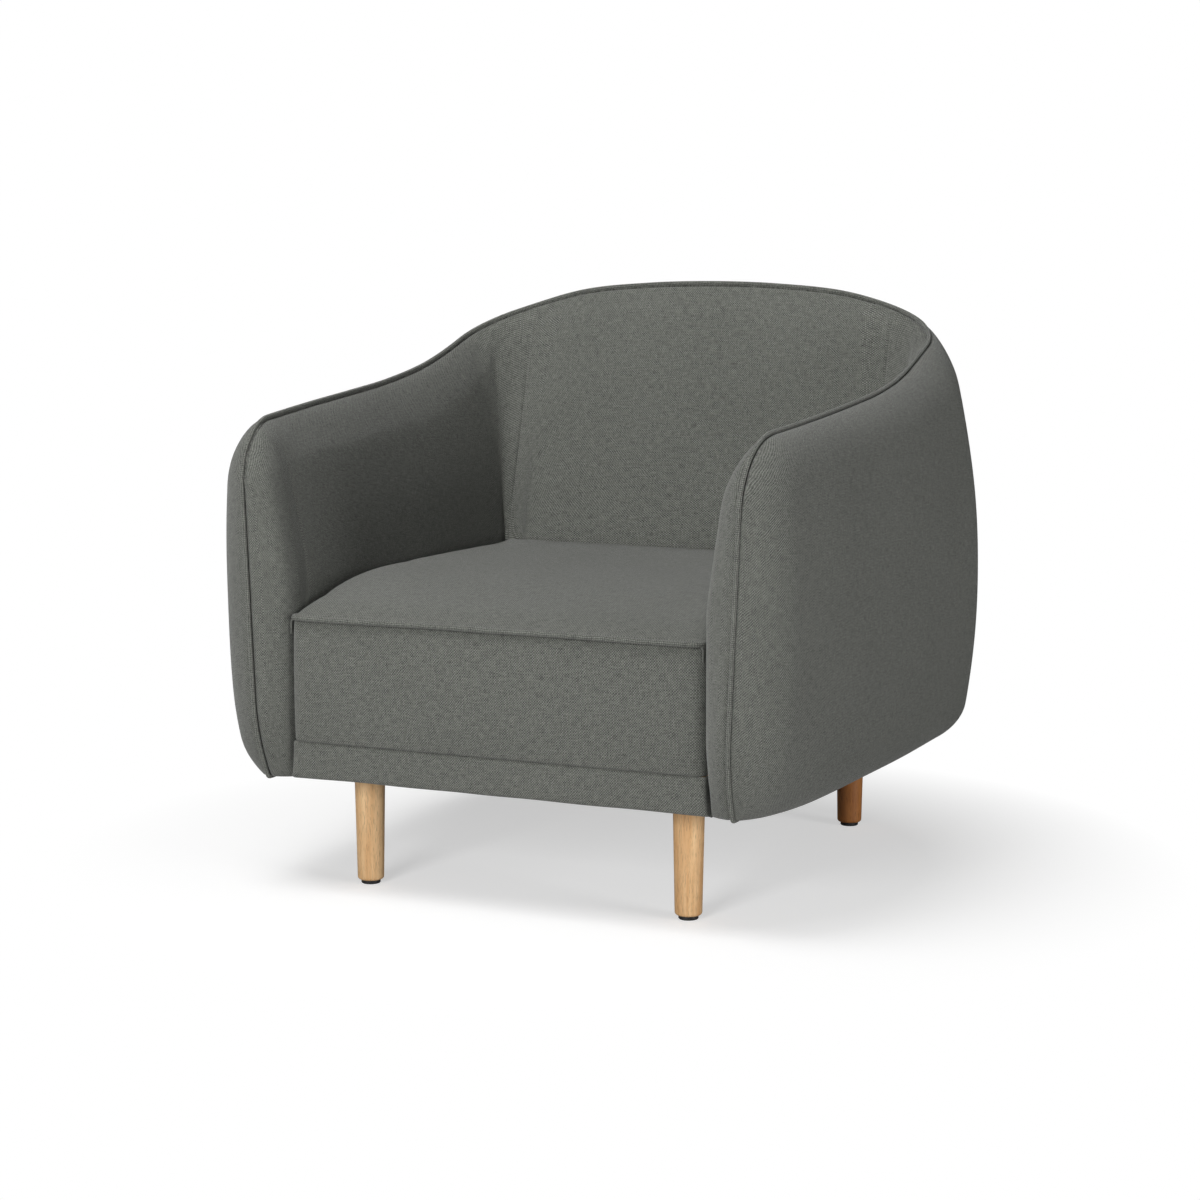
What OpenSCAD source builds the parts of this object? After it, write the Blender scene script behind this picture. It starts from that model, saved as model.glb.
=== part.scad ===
// Upholstered tub armchair with a tight seat on four turned wooden legs.
// +Z is up, the front faces -Y, X = 0 is the plane of symmetry, and the glides stand on z = 0.

/* [Overall] */
// Height of the underside of the body above the floor
body_z = 150; // [140:1:165]
// Height of the flat part of the seat
seat_z = 400; // [390:1:410]
// Height of the arm's crest just behind its front corner
arm_z = 600; // [590:1:612]
// Height of the crest in the middle of the back
back_z = 770; // [762:1:780]
// Front of the arms, as the line that the seam follows
front_y = -403.4; // [-408:0.2:-400]
// Half the clear width between the arms at the seat
seat_half = 284; // [278:1:290]

/* [Shell] */
// Plan radius of the rear corners, on the seam line
corner_r = 105; // [98:1:112]
// Radius of the seam where it turns from the arm's front to its crest
nose_r = 78; // [70:1:85]
// Rounding of the outside where it meets the seam
outer_round = 60; // [50:1:70]
// Rounding of the inside where it meets the seam
inner_round = 50; // [40:1:55]
// The same rounding along the front edge of the arm, where it is tighter
front_round = 18; // [16:1:30]
// Lean of the inside back, in mm of depth per mm of height
recline = 0.27; // [0.24:0.01:0.29]

/* [Cloth and padding] */
// Thickness of the covers
cover_t = 2.5; // [2:0.1:3]
// Thickness of the foam on the arms
arm_foam_t = 36; // [30:1:40]
// Thickness of the foam on the back
back_foam_t = 58; // [50:1:62]
// Thickness of the padding on the outside
outer_pad_t = 12; // [8:1:14]
// Thickness of the boards behind the padding
board_t = 2; // [1.5:0.1:2.5]
// Radius of the piping cord with its cover
welt_r = 2.6; // [2:0.1:3]

/* [Frame] */
// Thickness of the seat rails
rail_t = 26; // [22:1:28]
// Height of the seat rails
rail_h = 60; // [50:1:64]
// Thickness of the plywood panels and ribs
ply_t = 18; // [15:1:18]

/* [Legs] */
// Distance of the legs from the plane of symmetry
leg_x = 225; // [215:1:230]
// Place of the front legs
front_leg_y = -285; // [-290:1:-275]
// Place of the back legs
back_leg_y = 308; // [300:1:308]
// Radius of a leg at its top
leg_top_r = 20; // [18:0.5:21]
// Radius of a leg at its foot
leg_foot_r = 17.2; // [15:0.1:18]
// Height of the glides
glide_h = 5; // [4:0.5:6]

/* [Hidden] */

gap = 0.4; // room left between cloth, foam and wood
fabric = "#686A65";
foam_color = "#E9DFC0";
board_color = "#B49468";
ply_color = "#D9B98A";
beech = "#CFA274";
steel = "#A9ADB2";

// Seam line: plan path of half the shell, from the arm's front round to the middle of the back
corner_x = 250;
corner_y = 222;
back_bow = 3;
arm_len = corner_y - front_y;
corner_len = corner_r * PI / 2;
half_len = arm_len + corner_len + corner_x;
arm_x = [338, 353, 358.5, 359.5, corner_x + corner_r];
rise = back_z - arm_z;
crest_share = [0, 0.05, 0.103, 0.156, 0.218, 0.324, 0.512, 0.741, 0.918, 0.982, 1];
crest_z = [for (k = crest_share) arm_z + rise * k];

// Swell of the outside beyond the seam line, and its tuck under the body
swell = [50, 53, 60, 72, 77, 79.6];
swell_z = 370;
swell_half_h = 410;
swell_margin = 290;
hem_z = body_z - 4;
hem_round = 50;
foot_tuck = 28;
foot_tuck_h = 110;
foot_tuck_len = 150;
lean_in = 0.042;
lean_in_len = 170;

// Inside: depth of padding at the crest, and the corner between arm and back
front_round_len = 130;
crest_pad = 24;
corner_power = 2.3;
corner_power_gain = 7;
back_face_y = 222;
crease_x = 28;

// Seams and edges, as lengths along the seam line or heights
first_step = 0.12;
seam_gap = 0.3;
past_corner = 12;
outside_seam_s = arm_len + corner_len + past_corner;
tuck_z = 330;
cover_hem_z = body_z + 0.2;

function at(p, i) = i < 0 ? 2 * p[0] - p[1] : i >= len(p) ? p[2 * len(p) - 2 - i] : p[i];
// Smooth curve through evenly spaced values, level at its end
function smooth(p, t) =
    let(n = len(p) - 1, u = min(max(t, 0), 1) * n, i = min(floor(u), n - 1), f = u - i)
    let(a = at(p, i - 1), b = p[i], c = p[i + 1], d = at(p, i + 2))
    0.5 * (2 * b + (c - a) * f + (2 * a - 5 * b + 4 * c - d) * f * f + (3 * b - a - 3 * c + d) * f * f * f);
function clamp01(t) = min(max(t, 0), 1);
function quarter(d, r) = sqrt(1 - pow(1 - clamp01(d / r), 2));
function fade(s, l) = pow(clamp01(1 - s / l), 2);

function path(s) =
    s < arm_len ? [smooth(arm_x, s / arm_len), front_y + s]
    : s < arm_len + corner_len ?
        let(a = (s - arm_len) / corner_r * 180 / PI)
        [corner_x + corner_r * cos(a), corner_y + corner_r * sin(a)]
    : let(x = corner_x - (s - arm_len - corner_len))
        [x, corner_y + corner_r + back_bow * (1 - pow(x / corner_x, 2))];
function outward(s) = let(t = path(s + 1) - path(s - 1)) [t[1], -t[0]] / norm(t);
function middle(s, z) =
    path(s) + [
        -lean_in * max(arm_z - nose_r / 2 - z, 0) * fade(s, lean_in_len),
        foot_tuck * pow(clamp01(1 - (z - hem_z) / foot_tuck_h), 2) * fade(s, foot_tuck_len)
    ];
function full_crest(s) = smooth(crest_z, s / half_len);
function crest(s) =
    full_crest(s) - (s < nose_r ? nose_r - sqrt(pow(nose_r, 2) - pow(nose_r - s, 2)) : 0);
// Distance from the seam line, measured over the shell
function depth(s, z) =
    let(slope = (full_crest(s + 5) - full_crest(s - 5)) / 10)
    let(top = (full_crest(s) - z) / sqrt(1 + slope * slope), a = nose_r - s, b = nose_r - top)
    a > 0 && b > 0 ? nose_r - norm([a, b]) : min(s, top);

function outer_depth(s, z) =
    let(h = max(swell_half_h, full_crest(s) - swell_margin))
    smooth(swell, s / half_len) * (1 - pow((z - swell_z) / h, 2))
        * quarter(depth(s, z), outer_round) * quarter(z - hem_z, hem_round);
function arm_pad(s, z, k) = crest_pad + (middle(min(s, arm_len), z)[0] - seat_half - crest_pad) * k;
function back_pad(z) = corner_y + corner_r - back_face_y - recline * (max(z, seat_z) - seat_z);
function corner_pad(s, z, k) =
    let(a = min(max((s - arm_len) / corner_r * 180 / PI, 0), 90))
    let(p = corner_power + corner_power_gain * k * k)
    let(w = corner_r - arm_pad(s, z, k), d = max(corner_r - back_pad(z), 1))
    corner_r - pow(pow(cos(a) / w, p) + pow(sin(a) / d, p), -1 / p);
function inner_radius(s) = inner_round - (inner_round - front_round) * fade(s, front_round_len);
function inner_depth(s, z) =
    let(k = clamp01((full_crest(s) - z) / (full_crest(s) - seat_z)))
    let(x = corner_x - (s - arm_len - corner_len))
    let(pad = s < arm_len ? arm_pad(s, z, k)
        : s < arm_len + corner_len ? corner_pad(s, z, k)
        : back_pad(z) + back_bow * (1 - pow(x / corner_x, 2)))
    pad * quarter(depth(s, z), inner_radius(s));

// A point of the shell, `inset` below its outside (side 1) or inside (side -1), on either half
function shell(s, z, side, inset) =
    s > half_len ? let(p = shell(2 * half_len - s, z, side, inset)) [-p[0], p[1], p[2]]
    : let(d = side > 0 ? outer_depth(s, z) : inner_depth(s, z), m = middle(s, z))
      let(q = m + outward(s) * side * max(d - inset, gap)) [q[0], q[1], z];
// Length along the seam line where the inside arm meets the inside back, at each height
function crease_s(z) =
    arm_len + corner_r * PI / 180 * atan2(max(corner_r - back_pad(z), 1), crease_x);

function even(a, b, n) = [for (i = [0 : n]) a + (b - a) * i / n];
// Columns along the seam line from s0 to s1, bunched at the arm's front and round the rear corner
nose_steps = 5;
bend_s = arm_len - 60;
function columns(s0, s1) =
    let(nose = [for (i = [1 : nose_steps - 1]) nose_r * (1 - cos(i * 90 / nose_steps))])
    concat(
        [s0],
        [for (s = nose) if (s > s0 + 3) s],
        even(nose_r, bend_s, 4),
        [for (s = even(bend_s, s1, 7)) if (s > bend_s) s]
    );
function folded(s) = s > half_len ? 2 * half_len - s : s;
// Heights of the grid's rows above one point of the seam line, bunched at the crest
crest_steps = 4;
crest_bend = 58;
function crest_rows(s) = [
    for (i = [0 : crest_steps])
        crest(s) - crest_bend * (1 - sin(i * 90 / crest_steps)) - first_step
];
hem_steps = 3;
function outer_rows(s0) = let(s = folded(s0), top = crest_rows(s)) concat(
    [for (i = [0 : hem_steps - 1]) cover_hem_z + hem_round * (1 - cos(i * 90 / hem_steps))],
    [for (z = even(cover_hem_z + hem_round, top[0], 4)) if (z < top[0] - 1) z],
    top
);
function inner_rows(s0, low) = let(s = folded(s0), top = crest_rows(s)) concat(
    even(low, seat_z, 2),
    [for (z = even(seat_z, top[0], 3)) if (z > seat_z + 1 && z < top[0] - 1) z],
    top
);

// Closed solid between two grids of points, which hold the same rows and columns
module slab(face, back, flip = false) {
    n = len(face);
    m = len(face[0]);
    k = n * m;
    pts = [for (g = [face, back]) for (row = g) for (p = row) p];
    skin = [for (i = [0 : n - 2]) for (j = [0 : m - 2])
        let(a = i * m + j, b = a + 1, c = a + m + 1, d = a + m)
        each [[a, b, c], [a, c, d], [k + a, k + c, k + b], [k + a, k + d, k + c]]];
    ends = [for (j = [0 : m - 2]) let(a = j, b = (n - 1) * m + j)
        each [[a, k + a, k + a + 1], [a, k + a + 1, a + 1], [b, b + 1, k + b + 1], [b, k + b + 1, k + b]]];
    sides = [for (i = [0 : n - 2]) let(a = i * m, b = a + m - 1)
        each [[a, a + m, k + a + m], [a, k + a + m, k + a], [b, k + b, k + b + m], [b, k + b + m, b + m]]];
    all = concat(skin, ends, sides);
    polyhedron(pts, flip ? all : [for (f = all) [f[2], f[1], f[0]]]);
}

// Closed tube with a round section along a chain of points
module tube(pts, r, facets) {
    n = len(pts);
    rings = [for (i = [0 : n - 1])
        let(t = pts[min(i + 1, n - 1)] - pts[max(i - 1, 0)], w = t / norm(t))
        let(c = cross(w, [0.31, 0.17, 0.94]), u = c / norm(c), v = cross(w, u))
        for (j = [0 : facets - 1]) pts[i] + r * (u * cos(j * 360 / facets) + v * sin(j * 360 / facets))];
    wall = [for (i = [0 : n - 2]) for (j = [0 : facets - 1])
        let(a = i * facets + j, b = i * facets + (j + 1) % facets)
        each [[a, a + facets, b], [b, a + facets, b + facets]]];
    caps = [[for (j = [0 : facets - 1]) j],
        [for (j = [facets - 1 : -1 : 0]) (n - 1) * facets + j]];
    polyhedron(rings, concat(wall, caps));
}

module on_side(side) {
    if (side < 0) mirror([1, 0, 0]) children();
    else children();
}

// ---- Legs and their fastenings ----
leg_places = [[-1, front_leg_y], [1, front_leg_y], [-1, back_leg_y], [1, back_leg_y]];
leg_top_z = body_z - gap / 2;
foot_round = 4;
bolt_r = 4;
bolt_into_leg = 40;
bolt_into_block = 40;
nut_r = 5.5;
glide_r = 12.5;
pin_r = 2;
pin_len = 18;
block_z = body_z + 4;
block_h = 44;

module leg(side, y) {
    color(beech) translate([side * leg_x, y, 0]) rotate_extrude($fn = 64) {
        difference() {
            polygon([
                [0, glide_h],
                [leg_foot_r - foot_round, glide_h],
                for (a = [15 : 15 : 90])
                    [leg_foot_r - foot_round * (1 - sin(a)), glide_h + foot_round * (1 - cos(a))],
                [leg_top_r, leg_top_z - 1],
                [leg_top_r - 1, leg_top_z],
                [0, leg_top_z]
            ]);
            translate([0, leg_top_z - bolt_into_leg]) square([bolt_r, bolt_into_leg + 1]);
            square([pin_r, glide_h + pin_len]);
        }
    }
}

module glide(side, y) {
    color("#1C1C1D") translate([side * leg_x, y, 0]) rotate_extrude($fn = 48)
        polygon([
            [0, 0], [glide_r - 1, 0], [glide_r, 1], [glide_r, glide_h],
            [pin_r, glide_h], [pin_r, glide_h + pin_len - 2],
            [0.5, glide_h + pin_len], [0, glide_h + pin_len]
        ]);
}

module hanger_bolts() {
    color(steel) for (p = leg_places)
        translate([p[0] * leg_x, p[1], leg_top_z - bolt_into_leg])
            cylinder(h = bolt_into_leg + bolt_into_block, r = bolt_r, $fn = 24);
}

module t_nuts() {
    color(steel) for (p = leg_places)
        translate([p[0] * leg_x, p[1], block_z + block_h]) difference() {
            union() {
                cylinder(h = 1.5, r = 12, $fn = 32);
                translate([0, 0, -14]) cylinder(h = 14, r = nut_r, $fn = 24);
            }
            translate([0, 0, -15]) cylinder(h = 18, r = bolt_r, $fn = 24);
        }
}

// ---- Seat frame ----
rail_z = body_z + 8;
rail_top = rail_z + rail_h;
side_in = 308;
side_out = side_in + rail_t;
front_rail_y = -363.6;
back_rail_y = 322;
side_back_y = 316;
block_w = 100;
block_d = 96;
tenon_t = 10.6;
tenon_shoulder = seat_half - 1;
dowel_y = front_rail_y + rail_t - tenon_t / 2;
dowel_r = 4;
dowel_len = 44;
screw_r = 2.2;
screw_len = 40;
dowel_rise = [16, 44];

module dowel_holes() {
    for (s = [-1, 1]) for (h = dowel_rise)
        translate([s * (side_in + dowel_len / 2 - 24), dowel_y, rail_z + h]) rotate([0, 90, 0])
            cylinder(h = dowel_len, r = dowel_r, center = true, $fn = 24);
}

module screw_holes() {
    for (p = leg_places) let(front = p[1] < 0, y0 = front ? front_rail_y + rail_t + 9 : back_rail_y) {
        for (x = [side_in - 50, side_in - 18])
            translate([p[0] * x, y0, block_z + block_h - 12]) rotate([90, 0, 0])
                cylinder(h = screw_len, r = screw_r, center = true, $fn = 16);
    }
}

module front_rail() {
    color(ply_color) difference() {
        union() {
            translate([-tenon_shoulder, front_rail_y, rail_z]) cube([2 * tenon_shoulder, rail_t, rail_h]);
            translate([-side_in, front_rail_y + rail_t - tenon_t, rail_z])
                cube([2 * side_in, tenon_t, rail_h]);
        }
        dowel_holes();
        screw_holes();
    }
}

module back_rail() {
    color(ply_color) difference() {
        translate([-side_in, back_rail_y, rail_z]) cube([2 * side_in, rail_t, rail_h]);
        screw_holes();
    }
}

module side_rail(side) {
    color(ply_color) difference() {
        on_side(side) translate([side_in, front_rail_y, rail_z])
            cube([rail_t, side_back_y - front_rail_y, rail_h]);
        dowel_holes();
    }
}

module corner_block(side, front) {
    y0 = front ? front_rail_y + rail_t + gap : back_rail_y - block_d - gap;
    color(ply_color) difference() {
        on_side(side) translate([side_in - block_w - gap, y0, block_z]) cube([block_w, block_d, block_h]);
        translate([side * leg_x, front ? front_leg_y : back_leg_y, 0])
            cylinder(h = block_z + block_h + 1, r = nut_r, $fn = 24);
        screw_holes();
    }
}

module corner_screws() {
    color(steel) screw_holes();
}

module rail_dowels() {
    color(beech) dowel_holes();
}

// ---- Arm and back frame ----
panel_y = front_y + 21;
rib_y = -20;
arm_frame_in = arm_foam_t + cover_t + 4;
out_room = cover_t + outer_pad_t + board_t + 4;
panel_low_z = body_z + 48;
arm_frame_drop = 46;
top_rail_h = 24;
back_rib_x = [-150, -50, 50, 150];
strap_w = 50;
strap_places = [290, 365, 440, 510];
back_rib_top = 690;
back_in = back_foam_t + cover_t + 6;

// Outline of a rib across the arm, up its outside edge and down its inside edge
function arm_section(s, z0, z1) = concat(
    [for (z = even(z0, z1, 9)) [middle(s, z)[0] + outer_depth(s, z) - out_room, z]],
    [for (z = even(z1, z0, 6)) [middle(s, z)[0] - max(inner_depth(s, z) - arm_frame_in, -2), z]]
);

module arm_panel(side) {
    s = panel_y - front_y - 3;
    top = full_crest(s + ply_t) - arm_frame_drop - 22;
    color(ply_color) on_side(side) translate([0, panel_y + ply_t, 0]) rotate([90, 0, 0])
        linear_extrude(height = ply_t) polygon(arm_section(s, panel_low_z, top));
}

module arm_rib(side) {
    s = rib_y - front_y;
    color(ply_color) on_side(side) translate([0, rib_y + ply_t, 0]) rotate([90, 0, 0])
        linear_extrude(height = ply_t)
            polygon(arm_section(s, rail_top + gap, full_crest(s) - arm_frame_drop - top_rail_h - 12));
}

module arm_top_rail(side) {
    y0 = panel_y + ply_t + 3;
    y1 = 205;
    s0 = y0 - front_y;
    s1 = y1 - front_y;
    z0 = full_crest(s0) - arm_frame_drop - top_rail_h - 20;
    z1 = full_crest(s1) - arm_frame_drop - top_rail_h - 20;
    plan = concat(
        [for (s = even(s0, s1, 8)) [middle(s, z0)[0] + 21, front_y + s]],
        [for (s = even(s1, s0, 8)) [middle(s, z0)[0] + 3, front_y + s]]
    );
    color(ply_color) on_side(side) translate([0, y0, z0])
        rotate([atan2(z1 - z0 - 12, y1 - y0), 0, 0]) translate([0, -y0, 0])
            linear_extrude(height = top_rail_h) polygon(plan);
}

function rib_front(s, z) = path(s)[1] - max(inner_depth(s, z) - back_in, -2);

module back_rib(x) {
    s = half_len - abs(x);
    y_mid = path(s)[1];
    outline = concat(
        [for (z = even(rail_top + gap, back_rib_top, 10)) [y_mid + outer_depth(s, z) - out_room, z]],
        [for (z = even(back_rib_top, rail_top + gap, 6)) [rib_front(s, z), z]]
    );
    color(ply_color) translate([x - ply_t / 2, 0, 0]) rotate([90, 0, 90])
        linear_extrude(height = ply_t) polygon(outline);
}

module back_top_rail() {
    w = back_rib_x[3] + 60;
    z = back_rib_top + gap;
    function rear(s) = path(s)[1] + outer_depth(s, z + ply_t) - out_room;
    color(ply_color) translate([0, 0, z]) linear_extrude(height = ply_t)
        polygon(concat(
            [for (x = even(-w, w, 8)) [x, path(half_len - abs(x))[1] + 3]],
            [for (x = even(w, -w, 8)) [x, rear(half_len - abs(x))]]
        ));
}

module back_webbing() {
    color("#3A3A3C") for (z = strap_places) {
        tilt = (rib_front(half_len, z + strap_w / 2) - rib_front(half_len, z - strap_w / 2)) / strap_w;
        translate([0, rib_front(half_len, z) - 1.3, z]) rotate([-atan(tilt), 0, 0])
            cube([2 * back_rib_x[3] + 50, 1.2, strap_w], center = true);
    }
}

// ---- Boards and padding of the outside ----
pad_edge = nose_r * (1 - cos(90 / nose_steps));
board_edge = nose_r * (1 - cos(2 * 90 / nose_steps));
pad_rows = [2 : 10];
board_rows = [2 : 9];
pad_in = cover_t + 2 * gap;
board_in = pad_in + outer_pad_t + gap;

module outside_layer(ss, rows, inset, thick) {
    slab(
        [for (i = rows) [for (s = ss) shell(s, outer_rows(s)[i], 1, inset)]],
        [for (i = rows) [for (s = ss) shell(s, outer_rows(s)[i], 1, inset + thick)]]
    );
}
function rear_columns(margin) =
    even(outside_seam_s + margin, 2 * half_len - outside_seam_s - margin, 10);

module outside_board(side) {
    color(board_color) on_side(side)
        outside_layer(columns(board_edge, outside_seam_s - seam_gap), board_rows, board_in, board_t);
}

module outside_board_back() {
    color(board_color) outside_layer(rear_columns(seam_gap), board_rows, board_in, board_t);
}

module outside_padding(side) {
    color("white") on_side(side)
        outside_layer(columns(pad_edge, outside_seam_s - seam_gap), pad_rows, pad_in, outer_pad_t);
}

module outside_padding_back() {
    color("white") outside_layer(rear_columns(seam_gap), pad_rows, pad_in, outer_pad_t);
}

// ---- Foam of the inside ----
inner_row_count = 10;
cover_low_s = 33;
tuck_s = 53;

module inside_layer(grid, inset, thick) {
    slab(
        [for (row = grid) [for (q = row) shell(q[0], q[1], -1, inset)]],
        [for (row = grid) [for (q = row) shell(q[0], q[1], -1, inset + thick)]],
        flip = true
    );
}

// Height of the lower edge of the inside arm: it runs to the hem only in front of the seat
function arm_low(s) =
    cover_hem_z + (tuck_z - cover_hem_z) * clamp01((s - cover_low_s) / (tuck_s - cover_low_s));
function arm_row(s0, i, full) = [
    for (k = [0 : len(columns(s0, arm_len)) - 1])
        let(z_rear = inner_rows(arm_len, tuck_z)[i], s = columns(s0, crease_s(z_rear) - 1)[k])
        [s, inner_rows(s, full ? arm_low(s) : tuck_z)[i]]
];
function back_row(i, cols, margin) = [
    for (k = [0 : cols])
        let(z_edge = inner_rows(arm_len + corner_len / 2, tuck_z)[i], s0 = crease_s(z_edge) + margin)
        let(s = s0 + 2 * (half_len - s0) * k / cols)
        [s, inner_rows(s, tuck_z)[i]]
];

module arm_foam(side) {
    color(foam_color) on_side(side)
        inside_layer([for (i = [0 : inner_row_count - 2]) arm_row(pad_edge, i, false)], pad_in, arm_foam_t);
}

module back_foam() {
    color(foam_color)
        inside_layer([for (i = [0 : inner_row_count - 4]) back_row(i, 12, 2)], pad_in, back_foam_t);
}

// ---- Covers ----
module inside_arm_cover(side) {
    color(fabric) on_side(side)
        inside_layer([for (i = [0 : inner_row_count - 1]) arm_row(first_step, i, true)], 0, cover_t);
}

module inside_back_cover() {
    color(fabric)
        inside_layer([for (i = [0 : inner_row_count - 1]) back_row(i, 12, 1)], 0, cover_t);
}

// The cover of the outside turns under the body and ends there in a hem
hem_return = 22;
module outside_cover(ss) {
    up = [1 : len(outer_rows(0)) - 1];
    z = cover_hem_z;
    slab(
        concat([for (inset = [hem_return, 0]) [for (s = ss) shell(s, z, 1, inset)]],
            [for (i = up) [for (s = ss) shell(s, outer_rows(s)[i], 1, 0)]]),
        concat([for (inset = [hem_return, cover_t]) [for (s = ss) shell(s, z + 2, 1, inset)]],
            [for (i = up) [for (s = ss) shell(s, outer_rows(s)[i], 1, cover_t)]])
    );
}

module outside_arm_cover(side) {
    color(fabric) on_side(side) outside_cover(columns(first_step, outside_seam_s - seam_gap));
}

module outside_back_cover() {
    color(fabric) outside_cover(rear_columns(seam_gap));
}

// ---- Seat ----
seat_side = seat_half - gap;
seat_front_y = -382;
band_y = -373;
welt_line_z = 358;
band_top_z = body_z + 49;
seat_back_y = back_face_y - gap;
spring_z = rail_top + 6;
spring_arch = 24;
pad_z = spring_z + spring_arch + 5;
pad_t = 6;

// Top of the seat in a cut through its depth
seat_top = [
    [seat_front_y + 1, welt_line_z + 2], [-372, 364], [-352, 371.5], [-325, 378.5], [-295, 385.5],
    [-250, 394], [-200, 399], [-148, seat_z + 1], [-60, seat_z + 1.5], [60, seat_z + 1.5],
    [seat_back_y, seat_z]
];
function sunk(d) = [for (p = seat_top) [p[0], p[1] - d]];

// Prism across the seat with a cut in the YZ plane
module across(w, outline) {
    translate([-w, 0, 0]) rotate([90, 0, 90]) linear_extrude(height = 2 * w) polygon(outline);
}

module seat_foam() {
    d = cover_t + gap;
    inner = [for (p = sunk(d)) if (p[0] > seat_front_y + 6) p];
    color(foam_color) across(seat_side - cover_t - gap, concat(
        [
            [seat_back_y - d, pad_z + pad_t + gap],
            [seat_front_y + 5, pad_z + pad_t + gap],
            [seat_front_y + 5, welt_line_z - d]
        ],
        [for (p = inner) if (p[0] < seat_back_y - d) p],
        [[seat_back_y - d, seat_z - d]]
    ));
}

module seat_cover() {
    under = sunk(cover_t);
    color(fabric) across(seat_side, concat(
        seat_top,
        [for (i = [len(under) - 1 : -1 : 0]) under[i]]
    ));
}

module seat_boxing() {
    y = seat_front_y;
    color(fabric) across(seat_side, [
        [y + 1.5, band_top_z + 0.3], [y, band_top_z + 12], [y - 1, (band_top_z + welt_line_z) / 2],
        [y, welt_line_z - 6], [y + 2, welt_line_z - 0.5], [y + 2 + cover_t, welt_line_z - 0.5],
        [y + cover_t, welt_line_z - 8], [y + cover_t, band_top_z + 12],
        [y + 1.5 + cover_t, band_top_z + 0.3]
    ]);
}

module front_band() {
    y = band_y;
    color(fabric) across(seat_side - 1.5, [
        [y, body_z + 3], [y, band_top_z], [y + cover_t, band_top_z], [y + cover_t, body_z + cover_t],
        [y + 26, body_z + cover_t], [y + 26, body_z + 0.2], [y + 3, body_z + 0.2]
    ]);
}

module seat_welt() {
    color(fabric) translate([0, seat_front_y - welt_r + 0.6, welt_line_z + 0.9]) rotate([0, 90, 0])
        cylinder(h = 2 * seat_side, r = welt_r, center = true, $fn = 24);
}

// Chain of points along the whole main seam, lifted off the shell
welt_lift = welt_r + 0.5;
function seam_point(s, z) =
    let(m = middle(s, z), up = s < nose_r && z < full_crest(s)
        ? [-cos(asin(clamp01((z - (full_crest(s) - nose_r)) / nose_r))),
            clamp01((z - (full_crest(s) - nose_r)) / nose_r)] : [0, 1])
    [m[0], m[1] + up[0] * welt_lift, z + up[1] * welt_lift];

module main_welt() {
    nose_z = arm_z - nose_r;
    half = concat(
        [for (z = even(body_z + welt_r, nose_z - 14, 12)) seam_point(0, z)],
        [for (a = [0 : 15 : 75]) let(s = nose_r * (1 - cos(a))) seam_point(s, crest(s))],
        [for (s = even(nose_r, arm_len, 14)) seam_point(s, full_crest(s))],
        [for (s = even(arm_len + 20, arm_len + corner_len, 9)) seam_point(s, full_crest(s))],
        [for (s = even(arm_len + corner_len + 30, half_len, 7)) seam_point(s, full_crest(s))]
    );
    whole = concat(half, [for (i = [len(half) - 2 : -1 : 0]) [-half[i][0], half[i][1], half[i][2]]]);
    color(fabric) tube(whole, welt_r, 8);
}

// ---- Springs ----
spring_count = 5;
spring_pitch = 100;
wire_r = 1.8;
loops = 11;
loop_w = 22;
spring_front_y = front_rail_y + rail_t / 2;
spring_back_y = back_rail_y + rail_t / 2;

function spring_line(x) = [
    for (i = [0 : 4 * loops])
        let(t = i / (4 * loops), y = spring_front_y + (spring_back_y - spring_front_y) * t)
        [x + loop_w * sin(i * 90), y + 5 * sin(i * 180), spring_z + spring_arch * sin(t * 180)]
];

module seat_springs() {
    color(steel) for (k = [0 : spring_count - 1])
        tube(spring_line((k - (spring_count - 1) / 2) * spring_pitch), wire_r, 5);
}

module spring_clips() {
    color(steel) for (k = [0 : spring_count - 1]) for (y = [spring_front_y, spring_back_y])
        translate([(k - (spring_count - 1) / 2) * spring_pitch, y, rail_top + 1.2])
            cube([16, 20, 2], center = true);
}

module spring_pad() {
    color("#8C8478") translate([-(seat_side - 6), front_rail_y + 6, pad_z])
        cube([2 * (seat_side - 6), seat_back_y - front_rail_y - 12, pad_t]);
}

module dust_cover() {
    edge = [for (s = concat(columns(6, outside_seam_s), [half_len])) middle(s, body_z) - outward(s) * 3];
    front = band_y + 30;
    rear = [for (p = edge) if (p[1] > front) p];
    outline = concat(
        [[seat_half + 16, front]], rear,
        [for (i = [len(rear) - 2 : -1 : 0]) [-rear[i][0], rear[i][1]]], [[-(seat_half + 16), front]]
    );
    color("#262628") translate([0, 0, body_z + 0.8]) linear_extrude(height = 1) difference() {
        polygon(outline);
        for (p = leg_places) translate([p[0] * leg_x, p[1]]) circle(r = nut_r + 1, $fn = 24);
    }
}

leg(-1, front_leg_y);  // leg_front_left
leg(1, front_leg_y);  // leg_front_right
leg(-1, back_leg_y);  // leg_back_left
leg(1, back_leg_y);  // leg_back_right
glide(-1, front_leg_y);  // glide_front_left
glide(1, front_leg_y);  // glide_front_right
glide(-1, back_leg_y);  // glide_back_left
glide(1, back_leg_y);  // glide_back_right
hanger_bolts();
t_nuts();
front_rail();
back_rail();
side_rail(-1);  // side_rail_left
side_rail(1);  // side_rail_right
corner_block(-1, true);  // corner_block_front_left
corner_block(1, true);  // corner_block_front_right
corner_block(-1, false);  // corner_block_back_left
corner_block(1, false);  // corner_block_back_right
corner_screws();
rail_dowels();
arm_panel(-1);  // arm_panel_left
arm_panel(1);  // arm_panel_right
arm_rib(-1);  // arm_rib_left
arm_rib(1);  // arm_rib_right
arm_top_rail(-1);  // arm_top_rail_left
arm_top_rail(1);  // arm_top_rail_right
back_rib(back_rib_x[0]);  // back_rib_outer_left
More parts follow.
